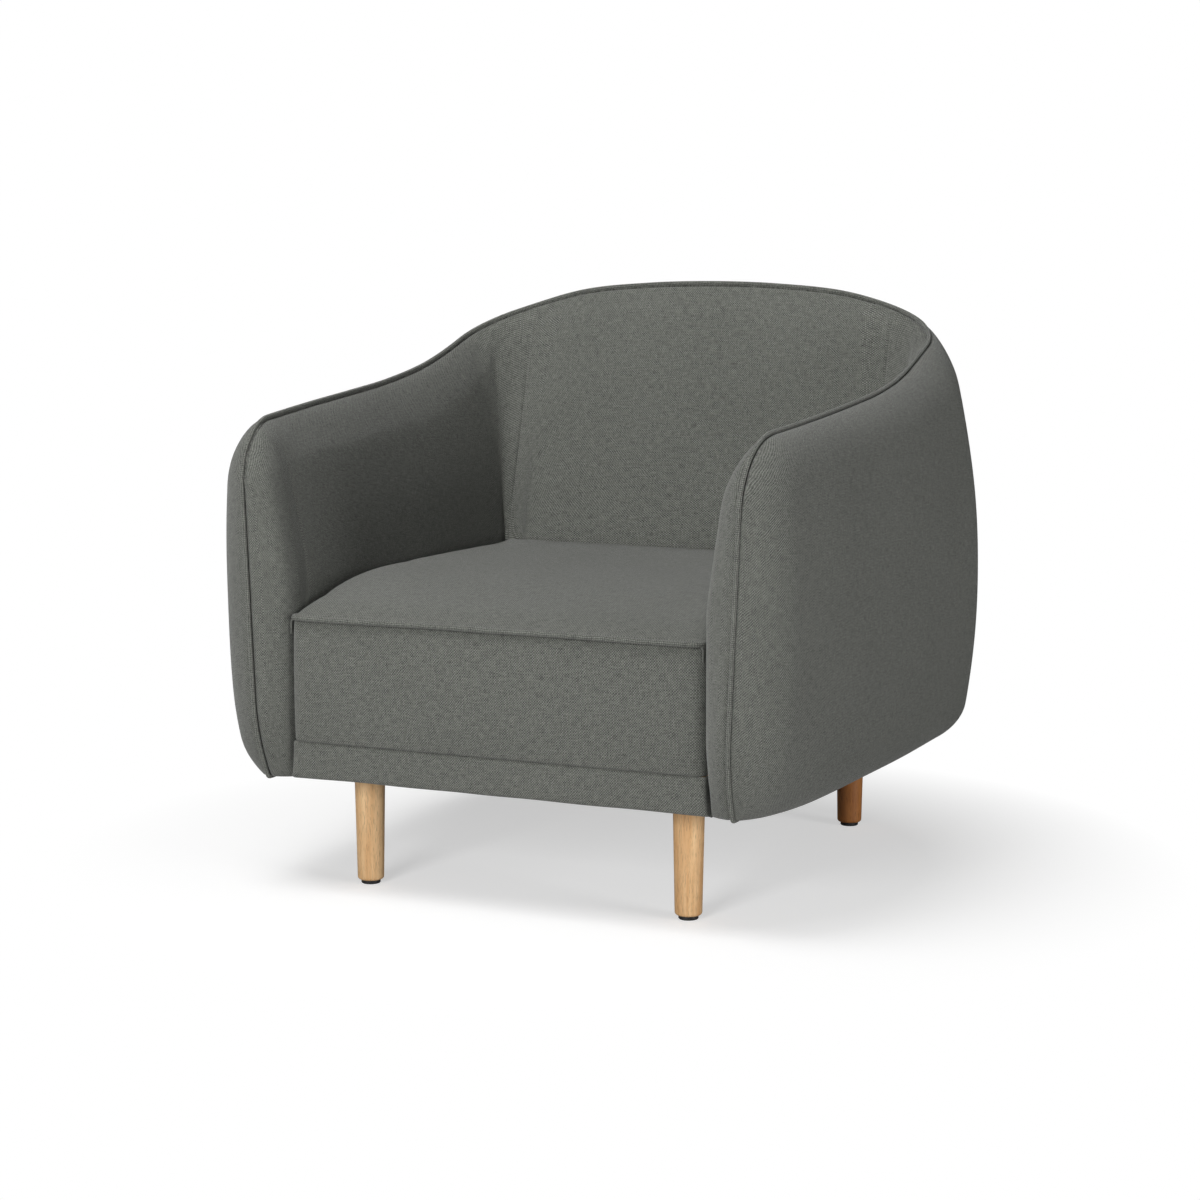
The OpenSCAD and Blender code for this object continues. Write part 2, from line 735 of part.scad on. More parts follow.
back_rib(back_rib_x[1]);  // back_rib_inner_left
back_rib(back_rib_x[2]);  // back_rib_inner_right
back_rib(back_rib_x[3]);  // back_rib_outer_right
back_top_rail();
back_webbing();
outside_board(-1);  // outside_board_left
outside_board(1);  // outside_board_right
outside_board_back();
outside_padding(-1);  // outside_padding_left
outside_padding(1);  // outside_padding_right
outside_padding_back();
arm_foam(-1);  // arm_foam_left
arm_foam(1);  // arm_foam_right
back_foam();
seat_springs();
spring_clips();
spring_pad();
seat_foam();
inside_arm_cover(-1);  // inside_arm_cover_left
inside_arm_cover(1);  // inside_arm_cover_right
inside_back_cover();
outside_arm_cover(-1);  // outside_arm_cover_left
outside_arm_cover(1);  // outside_arm_cover_right
outside_back_cover();
seat_cover();
seat_boxing();
front_band();
seat_welt();
main_welt();
dust_cover();
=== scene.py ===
"""Looks of an upholstered tub armchair: covers, piping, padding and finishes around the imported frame."""

import math

import bpy
import numpy as np
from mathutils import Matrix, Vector


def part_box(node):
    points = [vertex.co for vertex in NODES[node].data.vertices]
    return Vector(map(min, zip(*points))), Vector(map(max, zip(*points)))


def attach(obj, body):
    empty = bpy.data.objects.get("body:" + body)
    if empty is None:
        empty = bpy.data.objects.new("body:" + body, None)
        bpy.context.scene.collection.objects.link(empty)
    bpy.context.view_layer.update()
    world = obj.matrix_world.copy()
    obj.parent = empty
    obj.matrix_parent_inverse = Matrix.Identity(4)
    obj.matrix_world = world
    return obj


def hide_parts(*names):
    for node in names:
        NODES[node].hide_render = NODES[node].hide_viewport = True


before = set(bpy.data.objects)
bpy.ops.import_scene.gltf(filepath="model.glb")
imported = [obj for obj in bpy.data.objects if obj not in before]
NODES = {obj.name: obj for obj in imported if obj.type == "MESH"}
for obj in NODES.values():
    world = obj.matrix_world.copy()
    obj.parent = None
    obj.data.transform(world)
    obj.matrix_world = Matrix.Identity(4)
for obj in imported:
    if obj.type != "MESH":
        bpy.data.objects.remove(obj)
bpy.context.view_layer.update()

MM = 0.001

# ---- Camera, set first: a low three-quarter view from the front right ----
CAMERA_PLACE = (1.475, -3.251, 0.8265)
CAMERA_TURN = (82.4, 0.0, 24.8)
CAMERA_LENS = 80.0
SENSOR = 36.0

# ---- Driving dimensions of the shell ----
GAP = 0.4 * MM
BODY_Z = 150 * MM
SEAT_Z = 400 * MM
ARM_Z = 600 * MM
BACK_Z = 770 * MM
FRONT_Y = -403.4 * MM
SEAT_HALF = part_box("seat_cover")[1].x + GAP
CORNER_R = 105 * MM
NOSE_R = 78 * MM
OUTER_ROUND = 60 * MM
INNER_ROUND = 50 * MM
FRONT_ROUND = 18 * MM
FRONT_ROUND_LEN = 130 * MM
RECLINE = 0.27
CORNER_X = 250 * MM
CORNER_Y = 222 * MM
BACK_BOW = 3 * MM
ARM_LEN = CORNER_Y - FRONT_Y
CORNER_LEN = CORNER_R * math.pi / 2
HALF_LEN = ARM_LEN + CORNER_LEN + CORNER_X
ARM_X = [338 * MM, 353 * MM, 358.5 * MM, 359.5 * MM, CORNER_X + CORNER_R]
RISE = [0, 0.05, 0.103, 0.156, 0.218, 0.324, 0.512, 0.741, 0.918, 0.982, 1]
CREST = [ARM_Z + (BACK_Z - ARM_Z) * k for k in RISE]
SWELL = [50 * MM, 53 * MM, 60 * MM, 72 * MM, 77 * MM, 79.6 * MM]
CORNER_POWER = 2.3
CORNER_POWER_GAIN = 7
SWELL_Z = 370 * MM
SWELL_HALF_H = 410 * MM
SWELL_MARGIN = 290 * MM
HEM_Z = BODY_Z - 4 * MM
HEM_ROUND = 50 * MM
HEM_RETURN = 22 * MM
FOOT_TUCK = 28 * MM
FOOT_TUCK_H = 110 * MM
TUCK_FADE = 150 * MM
LEAN_IN = 0.042
LEAN_FADE = 170 * MM
CREST_PAD = 24 * MM
BACK_FACE_Y = 222 * MM
CREASE_X = 28 * MM
OUTSIDE_SEAM_S = ARM_LEN + CORNER_LEN + 12 * MM
TUCK_Z = 330 * MM
COVER_HEM_Z = BODY_Z + 0.2 * MM
COVER_LOW_S = 50 * MM
TUCK_S = 54.5 * MM

# ---- Cloth, padding and sewing ----
CLOTH_T = 1.8 * MM
WELT_R = 2.7 * MM
SEAT_WELT_R = 3.7 * MM
SEAM_WELT_LIFT = 1.3 * MM
ARM_FOAM_T = 36 * MM
BACK_FOAM_T = 58 * MM
OUTER_PAD_T = 11 * MM
UNDER_COVER = 5.5 * MM
FOLD_IN = 0.5 * MM
FOLD_W = 3.0 * MM
FOLD_GAP = 0.01 * MM
OUTSIDE_SEAM_GAP = 0.2 * MM
PIPING_FLANGE = 9 * MM
FABRIC = "upholstery"


# ---- The shell: the surface that the covers follow ----
def smooth(values, t):
    """Smooth curve through evenly spaced values, level at its end."""
    p = np.array(values, float)
    last = len(p) - 1
    p = np.concatenate([[2 * p[0] - p[1]], p, [p[-2]]])
    u = unit(t) * last
    i = np.minimum(np.floor(u).astype(int), last - 1)
    f = u - i
    a, b, c, d = p[i], p[i + 1], p[i + 2], p[i + 3]
    square = (2 * a - 5 * b + 4 * c - d) * f**2
    cube = (3 * b - a - 3 * c + d) * f**3
    return 0.5 * (2 * b + (c - a) * f + square + cube)


def unit(t):
    """Keeps t between 0 and 1."""
    return np.clip(t, 0, 1)


def quarter(d, r):
    return np.sqrt(1 - (1 - unit(d / r)) ** 2)


def fade(s, length):
    return unit(1 - s / length) ** 2


def seam_path(s):
    """Plan of the seam line, by length from the front of the right arm to the middle of the back."""
    s = np.asarray(s, float)
    arm = np.stack([smooth(ARM_X, s / ARM_LEN), FRONT_Y + s], -1)
    a = (s - ARM_LEN) / CORNER_R
    corner = np.stack([CORNER_X + CORNER_R * np.cos(a), CORNER_Y + CORNER_R * np.sin(a)], -1)
    x = HALF_LEN - s
    rear = np.stack([x, CORNER_Y + CORNER_R + BACK_BOW * (1 - (x / CORNER_X) ** 2)], -1)
    past_arm = (s >= ARM_LEN)[..., None]
    past_corner = (s >= ARM_LEN + CORNER_LEN)[..., None]
    return np.where(past_corner, rear, np.where(past_arm, corner, arm))


def outward(s):
    t = seam_path(s + MM) - seam_path(s - MM)
    t = t / np.linalg.norm(t, axis=-1, keepdims=True)
    return np.stack([t[..., 1], -t[..., 0]], -1)


def middle(s, z):
    lean = -LEAN_IN * np.maximum(ARM_Z - NOSE_R / 2 - z, 0) * fade(s, LEAN_FADE)
    tuck = FOOT_TUCK * unit(1 - (z - HEM_Z) / FOOT_TUCK_H) ** 2 * fade(s, TUCK_FADE)
    return seam_path(s) + np.stack(np.broadcast_arrays(lean, tuck), -1)


def full_crest(s):
    return smooth(CREST, s / HALF_LEN)


def crest(s):
    return full_crest(s) - NOSE_R + np.sqrt(NOSE_R**2 - np.clip(NOSE_R - s, 0, NOSE_R) ** 2)


def depth(s, z):
    """Distance from the seam line, measured over the shell."""
    step = 5 * MM
    slope = (full_crest(s + step) - full_crest(s - step)) / (2 * step)
    top = (full_crest(s) - z) / np.sqrt(1 + slope**2)
    a = NOSE_R - s
    b = NOSE_R - top
    return np.where((a > 0) & (b > 0), NOSE_R - np.hypot(a, b), np.minimum(s, top))


def outer_depth(s, z):
    height = np.maximum(SWELL_HALF_H, full_crest(s) - SWELL_MARGIN)
    bulge = smooth(SWELL, s / HALF_LEN) * (1 - ((z - SWELL_Z) / height) ** 2)
    return bulge * quarter(depth(s, z), OUTER_ROUND) * quarter(z - HEM_Z, HEM_ROUND)


def arm_pad(s, z, k):
    room = middle(np.minimum(s, ARM_LEN), z)[..., 0] - SEAT_HALF
    return CREST_PAD + (room - CREST_PAD) * k


def back_pad(z):
    return CORNER_Y + CORNER_R - BACK_FACE_Y - RECLINE * (np.maximum(z, SEAT_Z) - SEAT_Z)


def corner_pad(s, z, k):
    a = np.clip((s - ARM_LEN) / CORNER_R, 0, math.pi / 2)
    p = CORNER_POWER + CORNER_POWER_GAIN * k**2
    w = CORNER_R - arm_pad(s, z, k)
    d = np.maximum(CORNER_R - back_pad(z), MM)
    return CORNER_R - ((np.cos(a) / w) ** p + (np.sin(a) / d) ** p) ** (-1 / p)


def inner_radius(s):
    return INNER_ROUND - (INNER_ROUND - FRONT_ROUND) * fade(s, FRONT_ROUND_LEN)


def inner_depth(s, z):
    k = unit((full_crest(s) - z) / (full_crest(s) - SEAT_Z))
    rear = back_pad(z) + BACK_BOW * (1 - ((HALF_LEN - s) / CORNER_X) ** 2)
    corner = np.where(s < ARM_LEN + CORNER_LEN, corner_pad(s, z, k), rear)
    return np.where(s < ARM_LEN, arm_pad(s, z, k), corner) * quarter(depth(s, z), inner_radius(s))


def shell(s, z, side, inset=0.0):
    """Points of the outside (side 1) or the inside (side -1), `inset` under it, on either half."""
    s, z, inset = np.broadcast_arrays(np.asarray(s, float), z, inset)
    left = s > HALF_LEN
    s = np.where(left, 2 * HALF_LEN - s, s)
    d = outer_depth(s, z) if side > 0 else inner_depth(s, z)
    off = np.maximum(d - inset, np.minimum(d, GAP))
    plan = middle(s, z) + outward(s) * (side * off)[..., None]
    x = np.where(left, -plan[..., 0], plan[..., 0])
    return np.stack([x, plan[..., 1], z], -1)


def crease_s(z):
    """Where along the seam line the inside arm meets the inside back."""
    return ARM_LEN + CORNER_R * np.arctan2(np.maximum(CORNER_R - back_pad(z), MM), CREASE_X)


def folded(s):
    return np.where(s > HALF_LEN, 2 * HALF_LEN - s, s)


# ---- Panels: each is a function of u along the chair and v up it, both from 0 to 1 ----
FRONT_SHARE = 0.13
CREST_SHARE = 0.24
HEM_SHARE = 0.14
RETURN_SHARE = 0.05


def along_front(u, end):
    """Length along the seam line: even round the arm's front edge, then even to the end."""
    a = unit(u / FRONT_SHARE) * math.pi / 2
    t = unit((u - FRONT_SHARE) / (1 - FRONT_SHARE))
    return NOSE_R * (1 - np.cos(a)) + (end - NOSE_R) * t


def up_to_crest(v, low, top, round_r):
    """Height: even up to the crest's rounding, then even round it."""
    t = unit(v / (1 - CREST_SHARE))
    a = unit((1 - v) / CREST_SHARE) * math.pi / 2
    return low + (top - round_r - low) * t + round_r * np.cos(a)


def arm_low(s):
    t = unit((s - COVER_LOW_S) / (TUCK_S - COVER_LOW_S))
    return COVER_HEM_Z + (TUCK_Z - COVER_HEM_Z) * t


def fold(run):
    """How far a cover is drawn in where it is sewn to the next one across an inside corner."""
    return FOLD_IN * np.exp(-((run / FOLD_W) ** 2))


def inner_seam(v):
    """Where the inside arm and the inside back meet in each row, along the seam line."""
    s = ARM_LEN + CORNER_LEN / 2
    for _ in range(6):
        s = crease_s(up_to_crest(v, TUCK_Z, crest(s), INNER_ROUND))
    return s


def inside_arm(u, v, inset=0.0, full=True):
    end = inner_seam(v) - FOLD_GAP
    s = along_front(u, end)
    low = arm_low(s) if full else TUCK_Z
    return shell(s, up_to_crest(v, low, crest(s), INNER_ROUND), -1, inset + fold(end - s))


def inside_back(u, v, inset=0.0):
    s0 = inner_seam(v) + FOLD_GAP
    s = s0 + 2 * (HALF_LEN - s0) * u
    z = up_to_crest(v, TUCK_Z, crest(folded(s)), INNER_ROUND)
    return shell(s, z, -1, inset + fold(folded(s) - s0))


def outside(s, v, inset=0.0):
    """The outside turns under the body at its foot, where v is below RETURN_SHARE."""
    under = unit(1 - v / RETURN_SHARE)
    w = unit((v - RETURN_SHARE) / (1 - RETURN_SHARE))
    hem_a = unit(w / HEM_SHARE) * math.pi / 2
    top = crest(folded(s))
    above = unit((w - HEM_SHARE) / (1 - HEM_SHARE))
    z_hem = COVER_HEM_Z + HEM_ROUND * (1 - np.cos(hem_a))
    z_up = up_to_crest(above, COVER_HEM_Z + HEM_ROUND, top, OUTER_ROUND)
    z = np.where(w < HEM_SHARE, z_hem, z_up)
    return shell(s, z, 1, inset + HEM_RETURN * under)


def outside_arm(u, v, inset=0.0):
    return outside(along_front(u, OUTSIDE_SEAM_S - OUTSIDE_SEAM_GAP), v, inset)


def outside_back(u, v, inset=0.0):
    s0 = OUTSIDE_SEAM_S + OUTSIDE_SEAM_GAP
    return outside(s0 + 2 * (HALF_LEN - s0) * u, v, inset)


# ---- The seat, its front and the band below it ----
SEAT_FRONT_Y = -382 * MM
BAND_Y = -373 * MM
WELT_LINE_Z = 358 * MM
BAND_TOP_Z = BODY_Z + 49 * MM
SEAT_BACK_Y = BACK_FACE_Y - GAP
SEAT_REAR_RISE = 3 * MM
SEAT_PROFILE = [
    (SEAT_FRONT_Y + 1.2 * MM, WELT_LINE_Z + 1.6 * MM), (-372 * MM, 364.3 * MM), (-352 * MM, 371.8 * MM),
    (-325 * MM, 378.8 * MM), (-295 * MM, 385.6 * MM), (-250 * MM, 394 * MM), (-200 * MM, 399 * MM),
    (-148 * MM, SEAT_Z + 1.5 * MM), (-60 * MM, SEAT_Z + 2.5 * MM), (60 * MM, SEAT_Z + 3 * MM),
    (SEAT_BACK_Y, SEAT_Z + SEAT_REAR_RISE),
]
SEAT_EDGE_R = 15 * MM
SEAT_REAR_R = 8 * MM
SEAT_SKIRT = 34 * MM
SEAT_SIDE_SHARE = 0.075
SEAT_REAR_SHARE = 0.1
SEAT_FRONT_SHARE = 0.06
SEAT_FRONT_HOLD = 0.55
BOX_EDGE_R = 11 * MM
BOX_SIDE_SHARE = 0.06
BOX_BELLY = 2.2 * MM
BAND_HALF = SEAT_HALF + 0.6 * MM
BAND_FLARE = 3.5 * MM
BAND_RETURN = 26 * MM
BAND_EDGE_R = 3 * MM
BAND_PROUD = 5.5 * MM


def edge_roll(t, r, skirt):
    """Distance in and drop of a cloth edge that rolls over by a quarter turn and runs down, at t."""
    arc = r * math.pi / 2
    run = t * (arc + skirt)
    a = unit((run - skirt) / arc) * math.pi / 2
    return r * (1 - np.cos(a)), r * (1 - np.sin(a)) + np.maximum(skirt - run, 0)


def across_width(u, share, half, r, skirt):
    """Place across the seat and drop below its top, with both sides rolled over."""
    near = np.minimum(u, 1 - u)
    inward, drop = edge_roll(unit(near / share), r, skirt)
    flat = unit((u - share) / (1 - 2 * share))
    x = np.where(near < share, np.sign(u - 0.5) * (half - inward), -(half - r) + 2 * (half - r) * flat)
    return x, np.where(near < share, drop, 0)


def seat_top(u, v):
    x, drop = across_width(u, SEAT_SIDE_SHARE, SEAT_HALF - GAP, SEAT_EDGE_R, SEAT_SKIRT)
    inward, rear_drop = edge_roll(unit((1 - v) / SEAT_REAR_SHARE), SEAT_REAR_R, SEAT_SKIRT)
    profile = np.array(SEAT_PROFILE)
    run = np.concatenate([[0], np.cumsum(np.hypot(*np.diff(profile, axis=0).T))])
    t = unit(v / (1 - SEAT_REAR_SHARE)) * (run[-1] - SEAT_REAR_R)
    y = spline(run, profile[:, 0], t)
    z = spline(run, profile[:, 1], t)
    y = np.where(v > 1 - SEAT_REAR_SHARE, SEAT_BACK_Y - inward, y)
    z = np.where(v > 1 - SEAT_REAR_SHARE, SEAT_Z + SEAT_REAR_RISE - rear_drop, z)
    front_pull = SEAT_FRONT_HOLD * unit(1 - v / SEAT_FRONT_SHARE)
    x, y, z, drop = np.broadcast_arrays(x, y, z, drop)
    return np.stack([x, y, z - drop * (1 - front_pull)], -1)


def spline(at, values, t):
    """Smooth curve through values given at uneven places."""
    slope = np.gradient(values, at)
    i = np.clip(np.searchsorted(at, t) - 1, 0, len(at) - 2)
    h = at[i + 1] - at[i]
    f = (t - at[i]) / h
    a = (1 + 2 * f) * (1 - f) ** 2 * values[i] + f * (1 - f) ** 2 * h * slope[i]
    return a + f**2 * (3 - 2 * f) * values[i + 1] + f**2 * (f - 1) * h * slope[i + 1]


def seat_front(u, v):
    x, back = across_width(u, BOX_SIDE_SHARE, SEAT_HALF - GAP, BOX_EDGE_R, SEAT_SKIRT)
    low = BAND_TOP_Z + 0.2 * MM
    z = low + (WELT_LINE_Z - 0.8 * MM - low) * v
    belly = BOX_BELLY * np.sqrt(unit(np.sin(np.pi * v)))
    y = SEAT_FRONT_Y + 1.4 * MM - belly + back
    return np.stack(np.broadcast_arrays(x, y, z), -1)


def front_band(u, v):
    """The band runs up from a return under the front rail."""
    run = v * (BAND_RETURN + BAND_TOP_Z - BODY_Z)
    under = np.maximum(BAND_RETURN - run, 0)
    rise = np.maximum(run - BAND_RETURN, 0)
    half = BAND_HALF + BAND_FLARE * unit(1 - rise / (BAND_TOP_Z - BODY_Z)) ** 2
    x, back = across_width(u, BOX_SIDE_SHARE, half, BAND_EDGE_R, SEAT_SKIRT)
    corner = BAND_EDGE_R * (1 - quarter(rise, BAND_EDGE_R))
    y = BAND_Y - BAND_PROUD + under + np.where(rise > 0, corner, BAND_EDGE_R) + back
    z = BODY_Z + 0.2 * MM + rise
    return np.stack(np.broadcast_arrays(x, y, z), -1)


# ---- Meshes ----
def graded(count, start=(), end=()):
    """Even places from 0 to 1, with extra ones close to either end."""
    even = np.linspace(0, 1, count + 1)
    low = max(start, default=0) * 1.4
    high = 1 - max(end, default=0) * 1.4
    kept = [t for t in even if low <= t <= high]
    return np.array(sorted({0.0, 1.0, *start, *(1 - e for e in end), *kept}))


def grid_normals(points):
    du = np.gradient(points, axis=1)
    dv = np.gradient(points, axis=0)
    n = np.cross(du, dv)
    return n / np.maximum(np.linalg.norm(n, axis=-1, keepdims=True), 1e-12)


def run_along(points, axis):
    """Length along the grid's lines from their start."""
    step = np.linalg.norm(np.diff(points, axis=axis), axis=-1)
    first = np.zeros_like(np.take(step, [0], axis=axis))
    return np.cumsum(np.concatenate([first, step], axis=axis), axis=axis)


def cloth_places(points):
    """Where each point is on its cut of cloth, in metres: this places the weave."""
    u = run_along(points, 1)
    v = run_along(points, 0)
    mid = len(points) // 2
    across = np.broadcast_to(u[mid], u.shape)
    return np.stack([across, v, np.zeros_like(u)], -1)


def new_object(name, verts, faces, material, places=None):
    mesh = bpy.data.meshes.new(name)
    mesh.from_pydata([tuple(p) for p in verts], [], [tuple(int(i) for i in f) for f in faces])
    mesh.materials.append(material)
    mesh.polygons.foreach_set("use_smooth", [True] * len(mesh.polygons))
    if places is not None:
        attribute = mesh.attributes.new("cloth", "FLOAT_VECTOR", "POINT")
        attribute.data.foreach_set("vector", np.asarray(places, np.float32).ravel())
    mesh.update()
    piece = bpy.data.objects.new(name, mesh)
    bpy.context.scene.collection.objects.link(piece)
    return piece


def grid_faces(rows, cols, flip):
    i, j = np.meshgrid(np.arange(rows - 1), np.arange(cols - 1), indexing="ij")
    a = (i * cols + j).ravel()
    faces = np.stack([a, a + 1, a + cols + 1, a + cols], -1)
    return faces[:, ::-1] if flip else faces


def sheet_object(name, points, material, flip, places):
    faces = grid_faces(*points.shape[:2], flip)
    return new_object(name, points.reshape(-1, 3), faces, material, places.reshape(-1, 3))


def solidify(piece, thickness):
    m = piece.modifiers.new("thickness", "SOLIDIFY")
    m.thickness = thickness
    m.offset = -1
    m.use_even_offset = False
    return piece


def subdivide(piece):
    m = piece.modifiers.new("subdivision", "SUBSURF")
    m.levels = 1
    m.render_levels = 1
    return piece


# ---- Cloth simulation of a panel, held along its edge ----
SIM_FRAMES = 20
STIFFNESS = 12.0
SHRINK = -0.004
EDGE_CALM = 18 * MM
PAD_WAVES = 0.5 * MM


def settle(points, flip, pressure, cap):
    """Lets the padding press a panel out, held along its edge, and returns how far each point moved."""
    rows, cols = points.shape[:2]
    piece = new_object("settling", points.reshape(-1, 3), grid_faces(rows, cols, flip), FABRIC_MATERIAL)
    edge = np.zeros((rows, cols), bool)
    edge[[0, -1], :] = True
    edge[:, [0, -1]] = True
    group = piece.vertex_groups.new(name="held")
    group.add([int(i) for i in np.flatnonzero(edge)], 1.0, "REPLACE")
    cloth = piece.modifiers.new("cloth", "CLOTH")
    settings = cloth.settings
    settings.quality = 4
    settings.mass = 0.3
    settings.tension_stiffness = STIFFNESS
    settings.compression_stiffness = STIFFNESS
    settings.shear_stiffness = STIFFNESS / 2
    settings.bending_stiffness = 0.6
    settings.shrink_min = SHRINK
    settings.vertex_group_mass = "held"
    settings.use_pressure = True
    settings.uniform_pressure_force = pressure
    settings.effector_weights.gravity = 0
    cloth.point_cache.frame_start = 1
    cloth.point_cache.frame_end = SIM_FRAMES
    for step in range(1, SIM_FRAMES + 1):
        bpy.context.scene.frame_set(step)
    shown = piece.evaluated_get(bpy.context.evaluated_depsgraph_get())
    after = np.zeros(rows * cols * 3, np.float32)
    shown.data.vertices.foreach_get("co", after)
    move = after.reshape(rows, cols, 3) - points
    bpy.data.objects.remove(piece)
    bpy.context.scene.frame_set(1)
    size = np.linalg.norm(move, axis=-1, keepdims=True)
    return move * (cap * np.tanh(size / cap) / np.maximum(size, 1e-9))


def resample(field, us, vs):
    """The simulated movement at the finer grid's places."""
    rows, cols = field.shape[:2]
    x = us * (cols - 1)
    y = vs * (rows - 1)
    i = np.minimum(x.astype(int), cols - 2)
    j = np.minimum(y.astype(int), rows - 2)
    fx = (x - i)[None, :, None]
    fy = (y - j)[:, None, None]
    low = field[j][:, i] * (1 - fx) + field[j][:, i + 1] * fx
    high = field[j + 1][:, i] * (1 - fx) + field[j + 1][:, i + 1] * fx
    return low * (1 - fy) + high * fy


def unevenness(points, seed, size):
    """Slow waves of hand-laid padding, in metres."""
    rng = np.random.default_rng(seed)
    total = np.zeros(points.shape[:2])
    for _ in range(9):
        direction = rng.normal(size=3)
        wave = rng.uniform(14, 46)
        total += np.sin(points @ (direction / np.linalg.norm(direction)) * wave + rng.uniform(0, 6.3))
    return size * total / 3


def panel(name, surface, us, vs, cells, pressure, cap, grooves, seed, sunk, flip=False):
    """A cover: simulated on an even grid, then made on a graded one with its seams drawn in."""
    sim_u = np.linspace(0, 1, cells[0] + 1)[None, :]
    sim_v = np.linspace(0, 1, cells[1] + 1)[:, None]
    field = settle(surface(sim_u, sim_v), flip, pressure, cap)
    points = surface(us[None, :], vs[:, None])
    normals = grid_normals(points) * (-1 if flip else 1)
    runs = {
        "start": run_along(points, 1), "end": run_along(points[:, ::-1], 1)[:, ::-1],
        "low": run_along(points, 0), "top": run_along(points[::-1], 0)[::-1],
    }
    nearest = np.minimum.reduce(list(runs.values()))
    settled = 1 - np.exp(-((nearest / EDGE_CALM) ** 2))
    points = points + resample(field, us, vs)
    lift = (unevenness(points, seed, PAD_WAVES) - sunk) * settled
    for edges, deep, wide in grooves:
        e = np.minimum.reduce([runs[k] for k in edges])
        lift = lift - deep * np.exp(-((e / wide) ** 2))
    points = points + normals * lift[..., None]
    piece = sheet_object(name, points, FABRIC_MATERIAL, flip, cloth_places(points))
    subdivide(piece)
    return solidify(piece, CLOTH_T), cut_of(points)


def cut_of(points):
    """Width, length and area of the cloth that a grid of points stands for, cut flat."""
    width = run_along(points, 1)[:, -1].max()
    length = run_along(points, 0)[-1].max()
    across = np.diff(points, axis=1)[:-1]
    up = np.diff(points, axis=0)[:, :-1]
    area = np.linalg.norm(np.cross(across, up), axis=-1).sum()
    return float(width), float(length), float(min(area, width * length))


def mirrored(piece, name):
    """The left-hand twin of a right-hand piece."""
    mesh = piece.data.copy()
    mesh.name = name
    co = np.zeros(len(mesh.vertices) * 3, np.float32)
    mesh.vertices.foreach_get("co", co)
    co = co.reshape(-1, 3)
    co[:, 0] *= -1
    mesh.vertices.foreach_set("co", co.ravel())
    mesh.flip_normals()
    twin = bpy.data.objects.new(name, mesh)
    for m in piece.modifiers:
        copy = twin.modifiers.new(m.name, m.type)
        for key in ("thickness", "offset", "use_even_offset", "levels", "render_levels"):
            if hasattr(m, key):
                setattr(copy, key, getattr(m, key))
    bpy.context.scene.collection.objects.link(twin)
    return twin


def slab_object(name, face, back, material):
    """Closed solid between two grids with the same rows and columns."""
    rows, cols = face.shape[:2]
    k = rows * cols
    skin = grid_faces(rows, cols, False)
    border = np.concatenate([
        np.arange(cols), np.arange(1, rows) * cols + cols - 1,
        (rows - 1) * cols + np.arange(cols - 2, -1, -1), np.arange(rows - 2, 0, -1) * cols,
    ])
    following = np.roll(border, -1)
    rim = np.stack([border, border + k, following + k, following], -1)
    verts = np.concatenate([face.reshape(-1, 3), back.reshape(-1, 3)])
    faces = np.concatenate([skin, skin[:, ::-1] + k, rim])
    piece = new_object(name, verts, faces, material)
    fix_normals(piece)
    return piece


def fix_normals(piece):
    """Turns a closed mesh's faces outward, by the sign of its volume."""
    co = np.array([v.co for v in piece.data.vertices])
    volume = sum(
        np.dot(co[f.vertices[0]], np.cross(co[f.vertices[i]], co[f.vertices[i + 1]]))
        for f in piece.data.polygons for i in range(1, len(f.vertices) - 1)
    )
    if volume < 0:
        piece.data.flip_normals()


